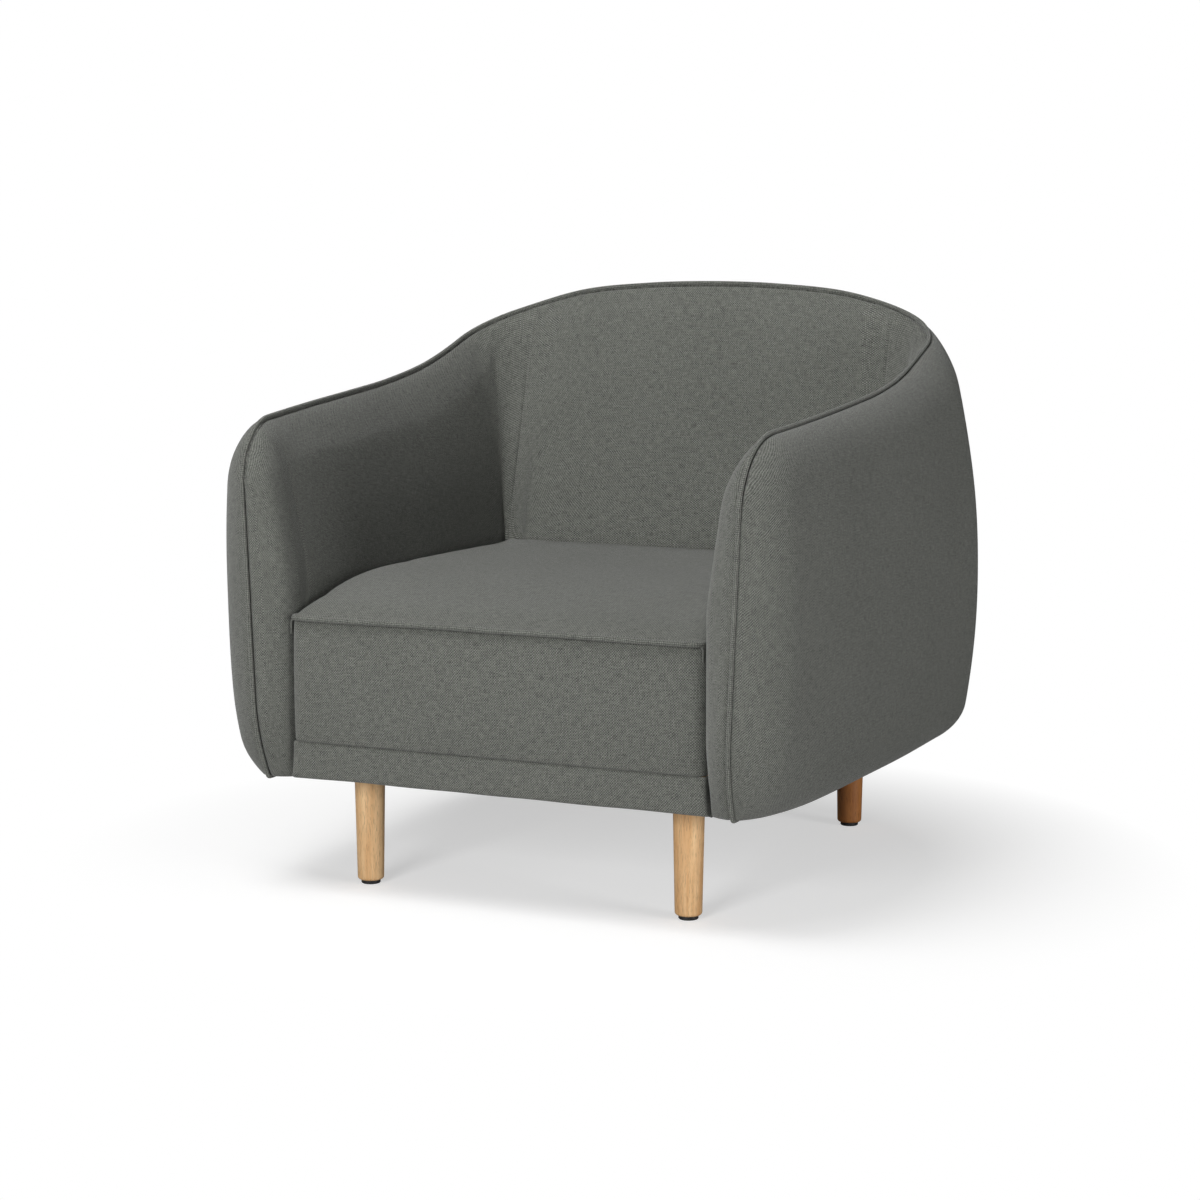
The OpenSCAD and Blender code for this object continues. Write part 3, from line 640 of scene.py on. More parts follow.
# ---- Materials ----
class Finish:
    """A node material with short calls for what it is made of."""

    def __init__(self, name, roughness, **sockets):
        self.material = bpy.data.materials.new(name)
        self.material.use_nodes = True
        self.tree = self.material.node_tree
        self.shader = self.tree.nodes["Principled BSDF"]
        self.shader.inputs["Roughness"].default_value = roughness
        for socket, value in sockets.items():
            self.shader.inputs[socket.replace("_", " ")].default_value = value

    def node(self, kind, **settings):
        n = self.tree.nodes.new(kind)
        for key, value in settings.items():
            setattr(n, key, value)
        return n

    def link(self, value, socket):
        if hasattr(value, "links"):
            self.tree.links.new(value, socket)
        else:
            socket.default_value = value

    def math(self, operation, a, b=0.0, c=0.0):
        n = self.node("ShaderNodeMath", operation=operation)
        for i, value in enumerate((a, b, c)):
            self.link(value, n.inputs[i])
        return n.outputs[0]

    def times(self, a, b):
        return self.math("MULTIPLY", a, b)

    def plus(self, a, b):
        return self.math("ADD", a, b)

    def minus(self, a, b):
        return self.math("SUBTRACT", a, b)

    def around_half(self, value, weight):
        return self.times(self.minus(value, 0.5), weight)

    def between(self, share, a, b):
        """Value a where share is 0 and b where it is 1."""
        return self.math("MULTIPLY_ADD", share, self.minus(b, a), a)

    def object_place(self):
        return self.node("ShaderNodeTexCoord").outputs["Object"]

    def cloth_place(self):
        return self.node("ShaderNodeAttribute", attribute_name="cloth").outputs["Vector"]

    def parts(self, vector):
        n = self.node("ShaderNodeSeparateXYZ")
        self.link(vector, n.inputs[0])
        return n.outputs

    def scaled(self, vector, scale, turn=(0, 0, 0)):
        n = self.node("ShaderNodeMapping")
        self.link(vector, n.inputs["Vector"])
        n.inputs["Scale"].default_value = scale
        n.inputs["Rotation"].default_value = turn
        return n.outputs[0]

    def noise(self, place, scale, detail, roughness=0.5, distortion=0.0):
        n = self.node("ShaderNodeTexNoise")
        self.link(self.scaled(place, scale), n.inputs["Vector"])
        settings = {"Scale": 1.0, "Detail": detail, "Roughness": roughness, "Distortion": distortion}
        for name, value in settings.items():
            n.inputs[name].default_value = value
        return n.outputs[0]

    def ramp(self, value, *stops):
        n = self.node("ShaderNodeValToRGB")
        self.link(value, n.inputs[0])
        while len(n.color_ramp.elements) < len(stops):
            n.color_ramp.elements.new(0.5)
        for element, (place, colour) in zip(n.color_ramp.elements, stops):
            element.position = place
            element.color = (*colour, 1) if hasattr(colour, "__len__") else (colour,) * 3 + (1,)
        return n.outputs[0]

    def mix(self, share, a, b, blend="MIX"):
        n = self.node("ShaderNodeMix", data_type="RGBA", blend_type=blend)
        self.link(share, n.inputs["Factor"])
        for name, value in (("A", a), ("B", b)):
            socket = next(s for s in n.inputs if s.name == name and s.type == "RGBA")
            self.link((*value, 1) if isinstance(value, tuple) else value, socket)
        return next(s for s in n.outputs if s.type == "RGBA")

    def colour(self, value):
        self.link(value, self.shader.inputs["Base Color"])

    def rough(self, value):
        self.link(value, self.shader.inputs["Roughness"])

    def bump(self, height, distance, strength):
        n = self.node("ShaderNodeBump")
        n.inputs["Strength"].default_value = strength
        n.inputs["Distance"].default_value = distance
        self.link(height, n.inputs["Height"])
        self.link(n.outputs[0], self.shader.inputs["Normal"])
        return self.material


def linear(r, g, b):
    """A colour as seen on screen, from 0 to 255, as the shader wants it."""
    return tuple(((c / 255 + 0.055) / 1.055) ** 2.4 if c > 10 else c / 255 / 12.92 for c in (r, g, b))


# Noise scales are in features a metre
WARP_SLUBS = 88
WEFT_SLUBS = 80
YARN_WANDER = 60
CLOUDS = 9
FIBRES = 2600
SLUB_TONE = 1.3
BROAD_TONE = 0.25
CHECK_TONE = 0.52
FIBRE_TONE = 0.9
CLOUD_TONE = 0.12


def woven(name, dark, light, thread, relief):
    """Plain weave of slubby, heathered yarn, drawn on the cut of the cloth, with painted shade between the
    threads.
    """
    f = Finish(name, 0.88, Sheen_Weight=0.22, Sheen_Roughness=0.45, Specular_IOR_Level=0.25)
    place = f.cloth_place()
    wander = f.noise(place, (YARN_WANDER, YARN_WANDER, 1), 1.0)
    x, y, _ = f.parts(place)
    shift = f.around_half(wander, thread * 1.6)
    tu = f.math("DIVIDE", f.plus(x, shift), thread)
    tv = f.math("DIVIDE", f.minus(y, shift), thread)
    warp_h = f.math("SINE", f.times(f.math("FRACT", tu), math.pi))
    weft_h = f.math("SINE", f.times(f.math("FRACT", tv), math.pi))
    crossing = f.plus(f.math("FLOOR", tu), f.math("FLOOR", tv))
    on_top = f.math("GREATER_THAN", f.math("FRACT", f.times(crossing, 0.5)), 0.25)
    per_yarn = 0.8 / thread
    warp_slub = f.noise(place, (per_yarn, WARP_SLUBS, 1), 2.0, 0.6)
    weft_slub = f.noise(place, (WEFT_SLUBS, per_yarn, 1), 2.0, 0.6)
    warp_top = f.times(warp_h, f.math("MULTIPLY_ADD", weft_h, 0.45, 0.55))
    weft_top = f.times(weft_h, f.math("MULTIPLY_ADD", warp_h, 0.45, 0.55))
    height = f.between(on_top, weft_top, warp_top)
    slub = f.between(on_top, weft_slub, warp_slub)
    broad = f.math("MULTIPLY_ADD", f.plus(warp_slub, weft_slub), 0.5, -0.5)
    fibre = f.noise(place, (FIBRES, FIBRES, 1), 2.0)
    cloud = f.noise(place, (CLOUDS, CLOUDS, 1), 3.0)
    tone = f.math("MULTIPLY_ADD", f.minus(slub, 0.5), SLUB_TONE, 0.5)
    tone = f.plus(tone, f.times(broad, BROAD_TONE))
    for part, weight in ((on_top, CHECK_TONE), (fibre, FIBRE_TONE), (cloud, CLOUD_TONE)):
        tone = f.plus(tone, f.around_half(part, weight))
    # Painted shade: the tone is darkened where the weave is low, between the threads
    tone = f.times(tone, f.math("MULTIPLY_ADD", height, 0.7, 0.5))
    f.colour(f.ramp(tone, (0.0, dark), (1.0, light)))
    return f.bump(f.plus(height, f.times(slub, 0.5)), relief, 0.85)


def beech(name, pale, warm, along=(1, 1, 0.06)):
    """Steamed beech with fine grain, faint rings and dark flecks, stretched along one axis."""
    f = Finish(name, 0.42, Coat_Weight=0.12, Coat_Roughness=0.35, Specular_IOR_Level=0.4)
    place = f.object_place()
    grain = f.noise(place, [190 * k for k in along], 4.0, 0.62, 0.25)
    rings = f.noise(place, [46 * k for k in along], 2.0, distortion=0.8)
    fleck = f.noise(place, [1500 * k for k in along], 1.0)
    pore = f.ramp(fleck, (0.34, 0.0), (0.42, 1.0))
    tone = f.plus(f.times(grain, 0.62), f.times(rings, 0.5))
    wood = f.ramp(tone, (0.36, warm), (0.72, pale))
    f.colour(f.mix(0.35, wood, pore, "MULTIPLY"))
    f.rough(f.math("MULTIPLY_ADD", grain, 0.2, 0.33))
    return f.bump(f.plus(grain, pore), 0.12 * MM, 0.35)


def plywood(name, turn):
    """Birch plywood: pale faces with soft figure, laminations through the thickness."""
    f = Finish(name, 0.62)
    place = f.scaled(f.object_place(), (1, 1, 1), turn)
    figure = f.noise(place, (14, 90, 9), 4.0, distortion=1.2)
    layers = f.noise(place, (3, 620, 3), 1.0)
    tone = f.plus(f.times(figure, 0.75), f.times(layers, 0.25))
    f.colour(f.ramp(tone, (0.3, linear(178, 138, 92)), (0.7, linear(223, 192, 150))))
    return f.bump(tone, 0.25 * MM, 0.5)


def sawn_wood(name):
    f = Finish(name, 0.7)
    place = f.object_place()
    grain = f.noise(place, (5, 120, 120), 4.0, distortion=0.5)
    saw = f.noise(place, (700, 18, 18), 1.0)
    f.colour(f.ramp(grain, (0.3, linear(184, 140, 90)), (0.7, linear(226, 190, 140))))
    return f.bump(f.plus(grain, f.times(saw, 0.4)), 0.3 * MM, 0.6)


def zinc(name):
    f = Finish(name, 0.35, Metallic=1.0)
    place = f.object_place()
    spangle = f.noise(place, (240, 240, 240), 3.0)
    f.colour(f.ramp(spangle, (0.3, linear(140, 144, 150)), (0.75, linear(196, 199, 204))))
    f.rough(f.math("MULTIPLY_ADD", spangle, 0.25, 0.24))
    return f.bump(spangle, 0.05 * MM, 0.4)


def moulded_plastic(name):
    f = Finish(name, 0.45, Specular_IOR_Level=0.45)
    place = f.object_place()
    grain = f.noise(place, (1400, 1400, 1400), 2.0)
    scuff = f.noise(place, (90, 90, 30), 4.0)
    f.colour(f.ramp(scuff, (0.35, linear(20, 20, 21)), (0.75, linear(40, 40, 41))))
    f.rough(f.math("MULTIPLY_ADD", scuff, 0.25, 0.34))
    return f.bump(grain, 0.08 * MM, 0.5)


def grey_board(name):
    f = Finish(name, 0.85)
    place = f.object_place()
    fibre = f.noise(place, (420, 420, 420), 5.0, 0.7)
    cloud = f.noise(place, (22, 22, 22), 2.0)
    tone = f.math("MULTIPLY_ADD", fibre, 0.7, f.times(cloud, 0.3))
    f.colour(f.ramp(tone, (0.32, linear(150, 118, 78)), (0.68, linear(190, 158, 114))))
    return f.bump(fibre, 0.15 * MM, 0.6)


def open_foam(name):
    f = Finish(name, 0.95, Subsurface_Weight=0.08)
    place = f.object_place()
    cells = f.node("ShaderNodeTexVoronoi")
    f.link(f.scaled(place, (900, 900, 900)), cells.inputs["Vector"])
    cells.inputs["Scale"].default_value = 1.0
    cloud = f.noise(place, (35, 35, 35), 3.0)
    tone = f.math("MULTIPLY_ADD", cells.outputs[0], 0.35, f.times(cloud, 0.5))
    f.colour(f.ramp(tone, (0.15, linear(214, 200, 160)), (0.7, linear(240, 230, 198))))
    return f.bump(cells.outputs[0], 0.6 * MM, 0.7)


def wadding(name, low, high, scale=160.0):
    f = Finish(name, 0.97, Sheen_Weight=0.3, Sheen_Roughness=0.6)
    place = f.object_place()
    fibre = f.noise(place, (scale, scale, scale), 6.0, 0.75, 1.5)
    f.colour(f.ramp(fibre, (0.3, low), (0.7, high)))
    return f.bump(fibre, 1.2 * MM, 0.8)


def spunbond(name):
    """Thin black nonwoven with its pattern of small bonding points."""
    f = Finish(name, 0.9, Sheen_Weight=0.15)
    place = f.object_place()
    x, y, _ = f.parts(place)
    dots_x = f.math("SINE", f.times(f.plus(x, y), 2400))
    dots_y = f.math("SINE", f.times(f.minus(x, y), 2400))
    dots = f.times(dots_x, dots_y)
    fibre = f.noise(place, (700, 700, 700), 4.0, 0.7)
    tone = f.math("MULTIPLY_ADD", dots, 0.25, fibre)
    f.colour(f.ramp(tone, (0.25, linear(20, 20, 22)), (0.85, linear(52, 52, 55))))
    return f.bump(tone, 0.15 * MM, 0.6)


FABRIC_MATERIAL = woven("warm_grey_weave", linear(50, 51, 48), linear(134, 136, 129), 1.7 * MM, 0.35 * MM)
WEBBING_MATERIAL = woven("webbing_weave", linear(24, 24, 26), linear(96, 96, 100), 1.9 * MM, 0.5 * MM)
LEG_WOOD = beech("oiled_beech", linear(230, 193, 145), linear(203, 153, 100))
# Painted shade: the rear legs get a darker copy of the leg beech, standing in for the shade they sit in
# under the chair
SHADED_REAR_LEG_WOOD = beech("oiled_beech_painted_shade", linear(188, 124, 66), linear(148, 88, 42))
DOWEL_WOOD = beech("dowel_beech", linear(220, 186, 146), linear(190, 146, 104), (0.06, 1, 1))
PANEL_PLY = plywood("plywood_across", (0, 0, 0))
RIB_PLY = plywood("plywood_along", (0, 0, math.pi / 2))
RAIL_WOOD = sawn_wood("sawn_frame_wood")
STEEL = zinc("zinc_steel_finish")
GLIDE_PLASTIC = moulded_plastic("black_glide_plastic")
BOARD = grey_board("pressed_board")
FOAM = open_foam("cream_foam")
WADDING = wadding("white_wadding", linear(205, 205, 202), linear(245, 245, 243))
FELT = wadding("grey_felt", linear(92, 86, 76), linear(168, 160, 146), 260.0)
DUST_CLOTH = spunbond("black_spunbond")


# ---- Cover panels ----
ROUND_STEPS = (0.008, 0.02, 0.036, 0.06)
FRONT_US = tuple(FRONT_SHARE * 2.1 * t for t in ROUND_STEPS)
CREST_VS = tuple(CREST_SHARE * 1.3 * t for t in ROUND_STEPS)
SEAM_STEPS = (0.0012, 0.0028, 0.005, 0.009)
PIPED = 4.4 * MM
PIPED_OUT = 2.8 * MM
PIPED_FRONT = 0.9 * MM
PIPE_GROOVE_W = 3.0 * MM
SEWN = 3.0 * MM
SEWN_W = 2.6 * MM
EDGE_VS = (0.006, 0.014, 0.03)
UNDER = {
    "inside_arm_cover_right": "arm_foam_right", "inside_arm_cover_left": "arm_foam_left",
    "inside_back_cover": "back_foam", "outside_arm_cover_right": "outside_padding_right",
    "outside_arm_cover_left": "outside_padding_left", "outside_back_cover": "outside_padding_back",
    "seat_cover": "seat_foam", "seat_boxing": "seat_foam", "front_band": "front_rail",
}


def covers():
    """Each cover with its flat cut, by the CAD node that it stands for."""
    made = {}
    arm_us = graded(88, FRONT_US, SEAM_STEPS)
    arm_vs = graded(52, (), CREST_VS)
    out_vs = graded(84, (), tuple(t * 0.7 for t in CREST_VS))
    both = graded(80, SEAM_STEPS, SEAM_STEPS)
    inner_piping = (("start", "top"), PIPED, PIPE_GROOVE_W)
    back_piping = (("top",), PIPED, PIPE_GROOVE_W)
    outer_piping = (("top",), PIPED_OUT, PIPE_GROOVE_W)
    front_piping = (("start",), PIPED_FRONT, PIPE_GROOVE_W)
    made["inside_arm_cover_right"] = panel(
        "inside_arm_right", inside_arm, arm_us, arm_vs, cells=(80, 40), flip=True,
        pressure=3.0, cap=3 * MM, grooves=[inner_piping], seed=3, sunk=1 * MM)
    made["inside_back_cover"] = panel(
        "inside_back", inside_back, both, arm_vs, cells=(70, 46), flip=True,
        pressure=4.0, cap=4 * MM, grooves=[back_piping], seed=5, sunk=1 * MM)
    made["outside_arm_cover_right"] = panel(
        "outside_arm_right", outside_arm, graded(96, FRONT_US, SEAM_STEPS), out_vs, cells=(84, 66),
        pressure=3.0, cap=3 * MM, grooves=[outer_piping, front_piping, (("end",), SEWN, SEWN_W)],
        seed=7, sunk=1 * MM)
    made["outside_back_cover"] = panel(
        "outside_back", outside_back, graded(72, SEAM_STEPS, SEAM_STEPS), out_vs, cells=(60, 66),
        pressure=3.0, cap=3 * MM, grooves=[outer_piping, (("start", "end"), SEWN, SEWN_W)],
        seed=11, sunk=1 * MM)
    made["seat_cover"] = panel(
        "seat_top", seat_top, graded(110), graded(104, (0.0014, 0.0035, 0.007)), cells=(78, 72),
        pressure=4.0, cap=6 * MM, grooves=[(("low",), 0.5 * MM, 2 * MM)], seed=13, sunk=0.5 * MM)
    made["seat_boxing"] = panel(
        "seat_front", seat_front, graded(110), graded(30, EDGE_VS, EDGE_VS), cells=(80, 20),
        pressure=3.0, cap=2.5 * MM, grooves=[(("top",), 3.4 * MM, SEWN_W), (("low",), 1.5 * MM, 1.5 * MM)],
        seed=17, sunk=0.5 * MM)
    made["front_band"] = panel(
        "front_band_cover", front_band, graded(110), graded(24, (), (0.01, 0.025, 0.05)), cells=(80, 10),
        pressure=1.0, cap=1 * MM, grooves=[(("top",), 1.5 * MM, 1.5 * MM)], seed=19, sunk=0.3 * MM)
    for node in ("inside_arm_cover_right", "outside_arm_cover_right"):
        piece, cut = made[node]
        left = mirrored(piece, piece.name.replace("right", "left"))
        made[node.replace("right", "left")] = (left, cut)
    return made


# ---- Piping ----
def tube_with_flange(name, line, up, radius):
    """A covered cord with the sewn flange that goes down into its seam."""
    line = np.asarray(line)
    t = np.gradient(line, axis=0)
    t /= np.linalg.norm(t, axis=1, keepdims=True)
    w = up - (up * t).sum(1, keepdims=True) * t
    w /= np.linalg.norm(w, axis=1, keepdims=True)
    side = np.cross(t, w)
    angles = np.radians(np.linspace(-62, 242, 15))
    outline = [(radius * math.cos(a), radius * math.sin(a)) for a in angles]
    neck = 0.9 * MM
    join = radius * 1.15
    outline += [(-neck, -join), (-neck, -PIPING_FLANGE), (neck, -PIPING_FLANGE), (neck, -join)]
    outline = np.array(outline)
    rings = line[:, None] + side[:, None] * outline[None, :, :1] + w[:, None] * outline[None, :, 1:]
    count, size = rings.shape[:2]
    faces = []
    for i in range(count - 1):
        for j in range(size):
            a, b = i * size + j, i * size + (j + 1) % size
            faces.append((a, b, b + size, a + size))
    run = np.concatenate([[0], np.cumsum(np.linalg.norm(np.diff(line, axis=0), axis=1))])
    around = np.linspace(0, 2 * math.pi * radius, size)
    bias_u = (run[:, None] + around[None]) * math.sqrt(0.5)
    bias_v = (run[:, None] - around[None]) * math.sqrt(0.5)
    places = np.stack([bias_u, bias_v, np.zeros_like(bias_u)], -1)
    verts = rings.reshape(-1, 3)
    faces.append(tuple(range(size - 1, -1, -1)))
    faces.append(tuple((count - 1) * size + j for j in range(size)))
    piece = new_object(name, verts, faces, FABRIC_MATERIAL, places.reshape(-1, 3))
    fix_normals(piece)
    return piece


# The piping's last stretch, turned back under the arm, from its end to the foot of the seam
FOOT_TURN = np.array([(0, 16, -1.6), (0, 9, -1.6), (0, 4, -1.4), (0, 1.3, -0.7)]) * MM
FOOT_TURN_UP = np.array([(0, 0, -1), (0, 0, -1), (0, -0.3, -0.95), (0, -0.7, -0.7)])


def main_piping():
    """One piped seam from foot to foot: up the arm's front, over its nose and along the crest."""
    z = np.linspace(COVER_HEM_Z + 0.5 * MM, ARM_Z - NOSE_R, 60)[:-1]
    front_s = np.zeros_like(z)
    a = np.linspace(0, math.pi / 2, 26)[:-1]
    nose_s = NOSE_R * (1 - np.cos(a))
    crest_s = np.linspace(NOSE_R, HALF_LEN, 150)
    s = np.concatenate([front_s, nose_s, crest_s])
    height = np.concatenate([z, crest(nose_s), crest(crest_s)])
    zero = np.zeros_like
    up = np.concatenate([
        np.stack([zero(z), -np.ones_like(z), zero(z)], -1),
        np.stack([zero(a), -np.cos(a), np.sin(a)], -1),
        np.stack([zero(crest_s), zero(crest_s), np.ones_like(crest_s)], -1),
    ])
    plan = middle(s, height)
    line = np.stack([plan[:, 0], plan[:, 1], height], -1) + up * SEAM_WELT_LIFT
    line = np.concatenate([line[0] + FOOT_TURN, line])
    up = np.concatenate([FOOT_TURN_UP, up])
    return tube_with_flange("shell_piping", with_left(line), with_left(up), WELT_R)


def with_left(line):
    """A line from the right to the middle, with its mirror image after it."""
    return np.concatenate([line, line[-2::-1] * (-1, 1, 1)])


def seat_piping():
    """Across the seat's front edge, with both ends turned back beside the arms."""
    half = SEAT_HALF - GAP - SEAT_WELT_R
    r = BOX_EDGE_R
    a = np.linspace(0, math.pi / 2, 9)
    y = SEAT_FRONT_Y - 2.2 * MM
    back = np.linspace(40, r / MM + 4, 6) * MM
    end_x = np.concatenate([np.full(6, half), half - r + r * np.cos(a)])
    end_y = np.concatenate([y + back, y + r - r * np.sin(a)])
    mid_x = np.linspace(half - r, 0, 60)[1:]
    x = np.concatenate([end_x, mid_x])
    ys = np.concatenate([end_y, np.full(len(mid_x), y)])
    z = WELT_LINE_Z + 0.9 * MM + 0.5 * MM * np.sin(x * 21)
    line = np.stack([x, ys, z], -1)
    tangent = np.gradient(line, axis=0)
    up = np.stack([-tangent[:, 1], tangent[:, 0], np.zeros(len(x))], -1)
    up *= np.sign((up * line).sum(1))[:, None]
    return tube_with_flange("seat_piping", with_left(line), with_left(up), SEAT_WELT_R)


# ---- Padding inside ----
def arm_foam(u, v, inset):
    return inside_arm(u, v, inset, full=False)


def padding():
    """Foam and wadding under the covers, each within its share of a panel's u and v."""
    pieces = {}
    us = np.linspace(0, 1, 41)[None, :]
    vs = np.linspace(0, 1, 23)[:, None]
    outer_vs = 0.16 + 0.72 * vs
    layers = {
        "arm_foam_right": (arm_foam, 0.06 + 0.91 * us, 0.9 * vs, True, ARM_FOAM_T, FOAM),
        "back_foam": (inside_back, 0.02 + 0.96 * us, 0.88 * vs, True, BACK_FOAM_T, FOAM),
        "outside_padding_right": (outside_arm, 0.06 + 0.93 * us, outer_vs, False, OUTER_PAD_T, WADDING),
        "outside_padding_back": (outside_back, 0.01 + 0.98 * us, outer_vs, False, OUTER_PAD_T, WADDING),
    }
    for node, (layer, u, v, flip, thick, material) in layers.items():
        outer = layer(u, v, 0)
        face = outer - grid_normals(outer) * (-UNDER_COVER if flip else UNDER_COVER)
        piece = slab_object(node + "_pad", face, layer(u, v, UNDER_COVER + thick), material)
        pieces[node] = subdivide(piece)
        if node.endswith("right"):
            left = node.replace("right", "left")
            pieces[left] = mirrored(piece, left + "_pad")
    top = seat_top(np.linspace(0.09, 0.91, 45)[None, :], np.linspace(0.03, 0.88, 45)[:, None])
    top[..., 2] -= UNDER_COVER + 4 * MM
    low = top.copy()
    low[..., 2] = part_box("seat_foam")[0].z
    piece = slab_object("seat_foam_pad", top, low, FOAM)
    pieces["seat_foam"] = subdivide(piece)
    return pieces


def felt_pad():
    """The felt over the springs, with faint waves across it."""
    lo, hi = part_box("spring_pad")
    x = np.linspace(lo.x, hi.x, 61)[None, :]
    y = np.linspace(lo.y, hi.y, 61)[:, None]
    wave = 0.5 * MM * np.cos(x * 2 * math.pi / 0.1) * np.ones_like(y)
    x, y = np.broadcast_arrays(x, y)
    face = np.stack([x, y, hi.z - 1 * MM + wave], -1)
    back = np.stack([x, y, lo.z + 0.6 * MM + wave], -1)
    return slab_object("spring_felt", face, back, FELT)


STRAP_W = 48 * MM
STRAP_LEVELS = [290 * MM, 365 * MM, 440 * MM, 510 * MM]


def webbing():
    """Four straps across the ribs, with a slight wave along each."""
    co = np.array([v.co for v in NODES["back_webbing"].data.vertices])
    half = np.abs(co[:, 0]).max()
    verts, faces, places = [], [], []
    for z0 in STRAP_LEVELS:
        near = co[np.abs(co[:, 2] - z0) < 30 * MM]
        y_of = np.polyfit(near[:, 2], near[:, 1], 1)
        x = np.linspace(-half, half, 71)[None, :]
        z = z0 + np.linspace(-0.5, 0.5, 9)[:, None] * STRAP_W
        sag = 0.5 * MM * (1 - np.cos(x * 2 * math.pi / 0.1)) / 2
        y = np.polyval(y_of, z) + sag
        grid = np.stack(np.broadcast_arrays(x, y, z), -1)
        start = len(verts)
        verts.extend(grid.reshape(-1, 3))
        faces.extend(grid_faces(9, 71, False) + start)
        places.extend(np.stack(np.broadcast_arrays(x, z, 0 * x), -1).reshape(-1, 3))
    piece = new_object("back_straps", verts, faces, WEBBING_MATERIAL, places)
    length = float(2 * half)
    width = len(STRAP_LEVELS) * STRAP_W
    return solidify(piece, 1.1 * MM), (length, width, length * width)


def dust_cover():
    """Black cloth tacked under the frame, drawn up a little inside its edges, with faint ripples."""
    beside = np.linspace(8 * MM, OUTSIDE_SEAM_S, 50)
    behind = np.linspace(OUTSIDE_SEAM_S, HALF_LEN, 16)[1:]
    s = np.concatenate([beside, behind])
    edge = middle(s, BODY_Z) - outward(s) * 2 * MM
    front = BAND_Y + 30 * MM
    edge = edge[edge[:, 1] > front]
    y = np.linspace(front, edge[:, 1].max() - 1 * MM, 60)
    order = np.argsort(edge[:, 1])
    half = np.interp(y, edge[order, 1], edge[order, 0])
    half = np.where(y > CORNER_Y, corner_half(y), half)
    t = np.linspace(-1, 1, 61)[None, :]
    x = half[:, None] * t
    yy = np.broadcast_to(y[:, None], x.shape)
    inside = (1 - t**2) * np.sin(np.pi * (y - y[0]) / (y[-1] - y[0]))[:, None]
    ripple = 0.6 * MM * np.sin(x * 70) * np.sin(yy * 55)
    z = BODY_Z + 1.2 * MM + (1.4 * MM + ripple) * unit(inside)
    points = np.stack([x, yy, z], -1)
    piece = sheet_object("underside_cloth", points, DUST_CLOTH, True, points)
    return solidify(piece, 0.5 * MM), cut_of(points)


def corner_half(y):
    """Half width of the underside behind the arms' straight part."""
    inset = 2 * MM
    r = CORNER_R - inset
    return CORNER_X + np.sqrt(np.clip(r**2 - (y - CORNER_Y) ** 2, 0, None))


# ---- Finishes of the frame's own parts ----
def finish_frame():
    """Gives each node that stays its finish, by the start of its name."""
    plain = {
        # The rear legs take the beech copy with painted shade
        "leg_front": LEG_WOOD, "leg_back": SHADED_REAR_LEG_WOOD, "glide_": GLIDE_PLASTIC,
        "hanger_bolts": STEEL, "t_nuts": STEEL, "corner_screws": STEEL, "seat_springs": STEEL,
        "spring_clips": STEEL, "rail_dowels": DOWEL_WOOD,
        "front_rail": RAIL_WOOD, "back_rail": RAIL_WOOD, "side_rail": RAIL_WOOD, "corner_block": RAIL_WOOD,
        "arm_panel": PANEL_PLY, "arm_rib": PANEL_PLY, "arm_top_rail": PANEL_PLY,
        "back_rib": RIB_PLY, "back_top_rail": PANEL_PLY, "outside_board": BOARD,
    }
    for name, node in NODES.items():
        for start, material in plain.items():
            if name.startswith(start):
                node.data.materials.clear()
                node.data.materials.append(material)


# ---- Studio. The floor glows a little, and turns to plain white between FLOOR_NEAR and FLOOR_FAR ----
WORLD_LIGHT = 0.025
FLOOR_TONE = 0.56
FLOOR_GLOW = 0.53
FLOOR_NEAR = 0.42
FLOOR_FAR = 0.77
FLOOR_HALF = 14.0
LIGHT_TARGET = Vector((0, 0, 0.4))


def area_light(name, place, size, power):
    light = bpy.data.lights.new(name, "AREA")
    light.shape = "SQUARE"
    light.size = size
    light.energy = power
    lamp = bpy.data.objects.new(name, light)
    lamp.location = place
    lamp.rotation_euler = (LIGHT_TARGET - Vector(place)).to_track_quat("-Z", "Y").to_euler()
    lamp.visible_camera = False
    bpy.context.scene.collection.objects.link(lamp)


def studio():
    scene = bpy.context.scene
    scene.view_settings.view_transform = "Standard"
    camera = bpy.data.cameras.new("camera")
    camera.lens = CAMERA_LENS
    camera.sensor_width = SENSOR
    view = bpy.data.objects.new("camera", camera)
    view.location = CAMERA_PLACE
    view.rotation_euler = [math.radians(a) for a in CAMERA_TURN]
    scene.collection.objects.link(view)
    scene.camera = view
    area_light("front_softbox", (0.0, -4.4, 1.4), 1.4, 120)
    area_light("top_softbox", (-0.7, -1.2, 3.2), 1.6, 64)
    area_light("side_fill", (3.7, -0.9, 0.85), 1.3, 58)
    scene.world = white_world()
    corners = [(x * FLOOR_HALF, y * FLOOR_HALF, 0) for x, y in ((-1, -1), (1, -1), (1, 1), (-1, 1))]
    new_object("floor", corners, [(0, 1, 2, 3)], white_floor())


def white_world():
    """Seen as plain white, and giving only a little light."""
    world = bpy.data.worlds.new("studio")
    world.use_nodes = True
    nodes = world.node_tree.nodes
    links = world.node_tree.links
    lit = nodes["Background"]
    seen = nodes.new("ShaderNodeBackground")
    chosen = nodes.new("ShaderNodeMixShader")
    ray = nodes.new("ShaderNodeLightPath")
    for background, strength in ((lit, WORLD_LIGHT), (seen, 1.0)):
        background.inputs["Color"].default_value = (1, 1, 1, 1)
        background.inputs["Strength"].default_value = strength
    links.new(ray.outputs["Is Camera Ray"], chosen.inputs[0])
    links.new(lit.outputs[0], chosen.inputs[1])
    links.new(seen.outputs[0], chosen.inputs[2])
    links.new(chosen.outputs[0], nodes["World Output"].inputs["Surface"])
    return world


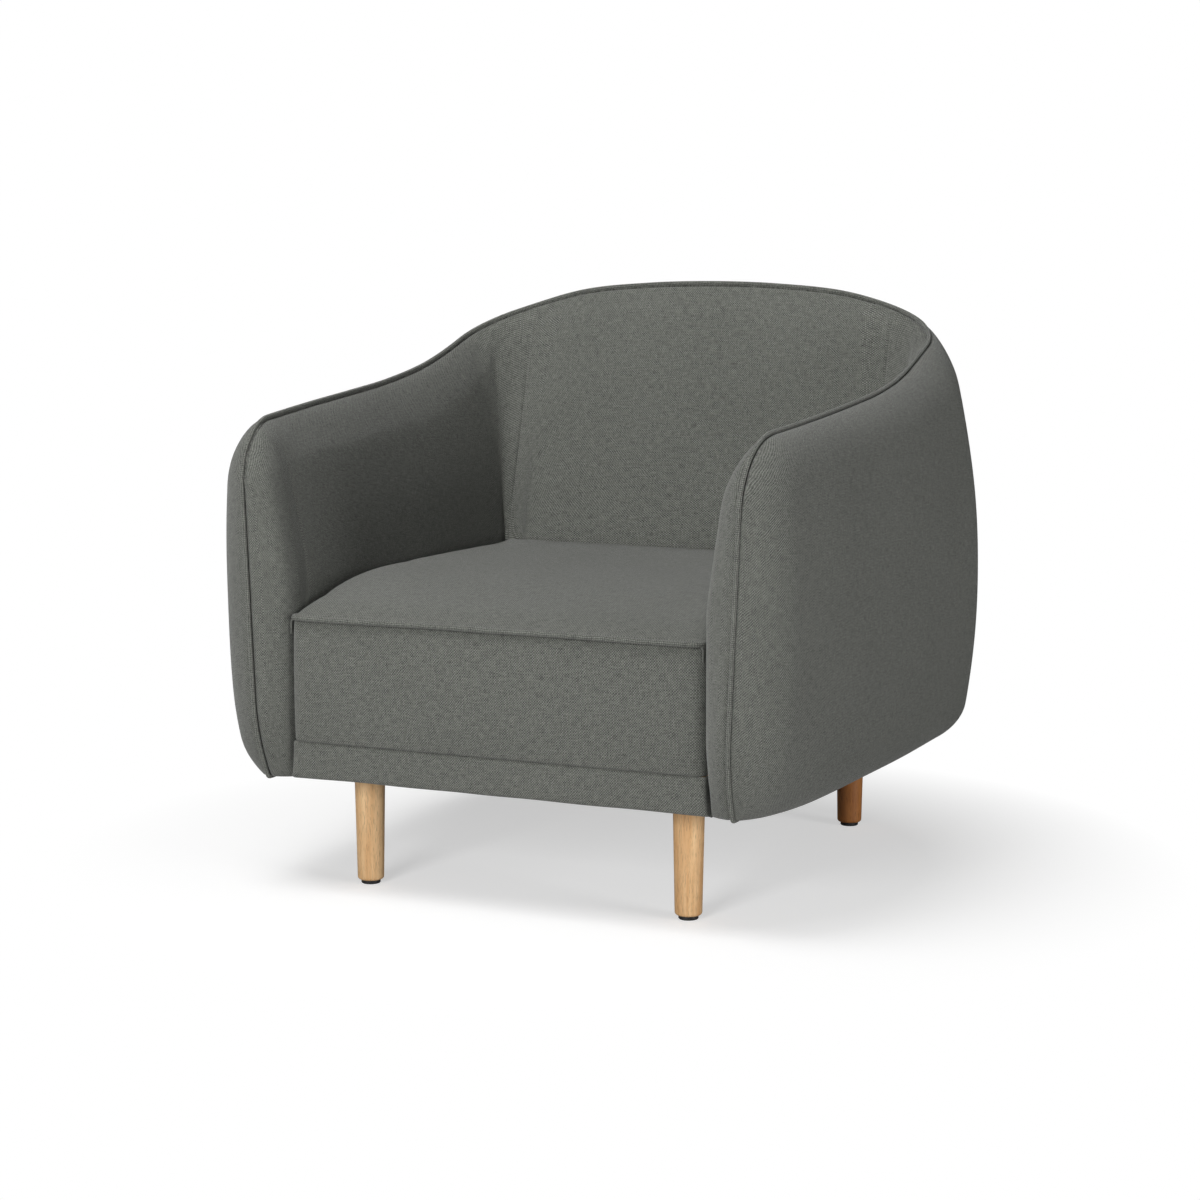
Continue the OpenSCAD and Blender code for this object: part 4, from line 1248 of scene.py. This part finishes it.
def white_floor():
    """White paper: it takes a soft shadow near the chair and fades into the white behind it."""
    f = Finish("white_floor", 0.8)
    place = f.object_place()
    dust = f.noise(place, (60, 60, 60), 3.0)
    f.colour(f.ramp(dust, (0.2, (FLOOR_TONE,) * 3), (0.8, (FLOOR_TONE + 0.02,) * 3)))
    x, y, _ = f.parts(place)
    radius = f.math("SQRT", f.plus(f.times(x, x), f.times(y, y)))
    fade_len = FLOOR_FAR - FLOOR_NEAR
    far = f.math("MULTIPLY_ADD", radius, 1 / fade_len, -FLOOR_NEAR / fade_len)
    far = f.math("MINIMUM", f.math("MAXIMUM", far, 0.0), 1.0)
    glow = f.node("ShaderNodeEmission")
    white = f.node("ShaderNodeEmission")
    for emission, strength in ((glow, FLOOR_GLOW), (white, 1.0)):
        emission.inputs["Color"].default_value = (1, 1, 1, 1)
        emission.inputs["Strength"].default_value = strength
    seen = f.node("ShaderNodeLightPath").outputs["Is Camera Ray"]
    near = f.node("ShaderNodeAddShader")
    f.link(f.shader.outputs[0], near.inputs[0])
    f.link(glow.outputs[0], near.inputs[1])
    shown = f.node("ShaderNodeMixShader")
    chosen = f.node("ShaderNodeMixShader")
    for mixer, share, a, b in ((shown, far, near, white), (chosen, seen, f.shader, shown)):
        f.link(share, mixer.inputs[0])
        f.link(a.outputs[0], mixer.inputs[1])
        f.link(b.outputs[0], mixer.inputs[2])
    f.link(chosen.outputs[0], f.tree.nodes["Material Output"].inputs["Surface"])
    return f.material


# ---- Each piece takes the place of the CAD node that it stands for ----
def stands_for(node, piece):
    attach(piece, "root")
    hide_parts(node)


def as_sheet(node, piece, cut, slot, under):
    stands_for(node, piece)


def as_padding(node, piece):
    stands_for(node, piece)


studio()
finish_frame()
for node, (piece, cut) in covers().items():
    as_sheet(node, piece, cut, FABRIC, [UNDER[node]])
stands_for("main_welt", main_piping())
stands_for("seat_welt", seat_piping())
for node, piece in padding().items():
    as_padding(node, piece)
as_padding("spring_pad", felt_pad())
as_sheet("back_webbing", *webbing(), "webbing", ["back_rib_outer_left", "back_rib_outer_right"])
as_sheet("dust_cover", *dust_cover(), "dust_cloth", ["front_rail", "back_rail"])
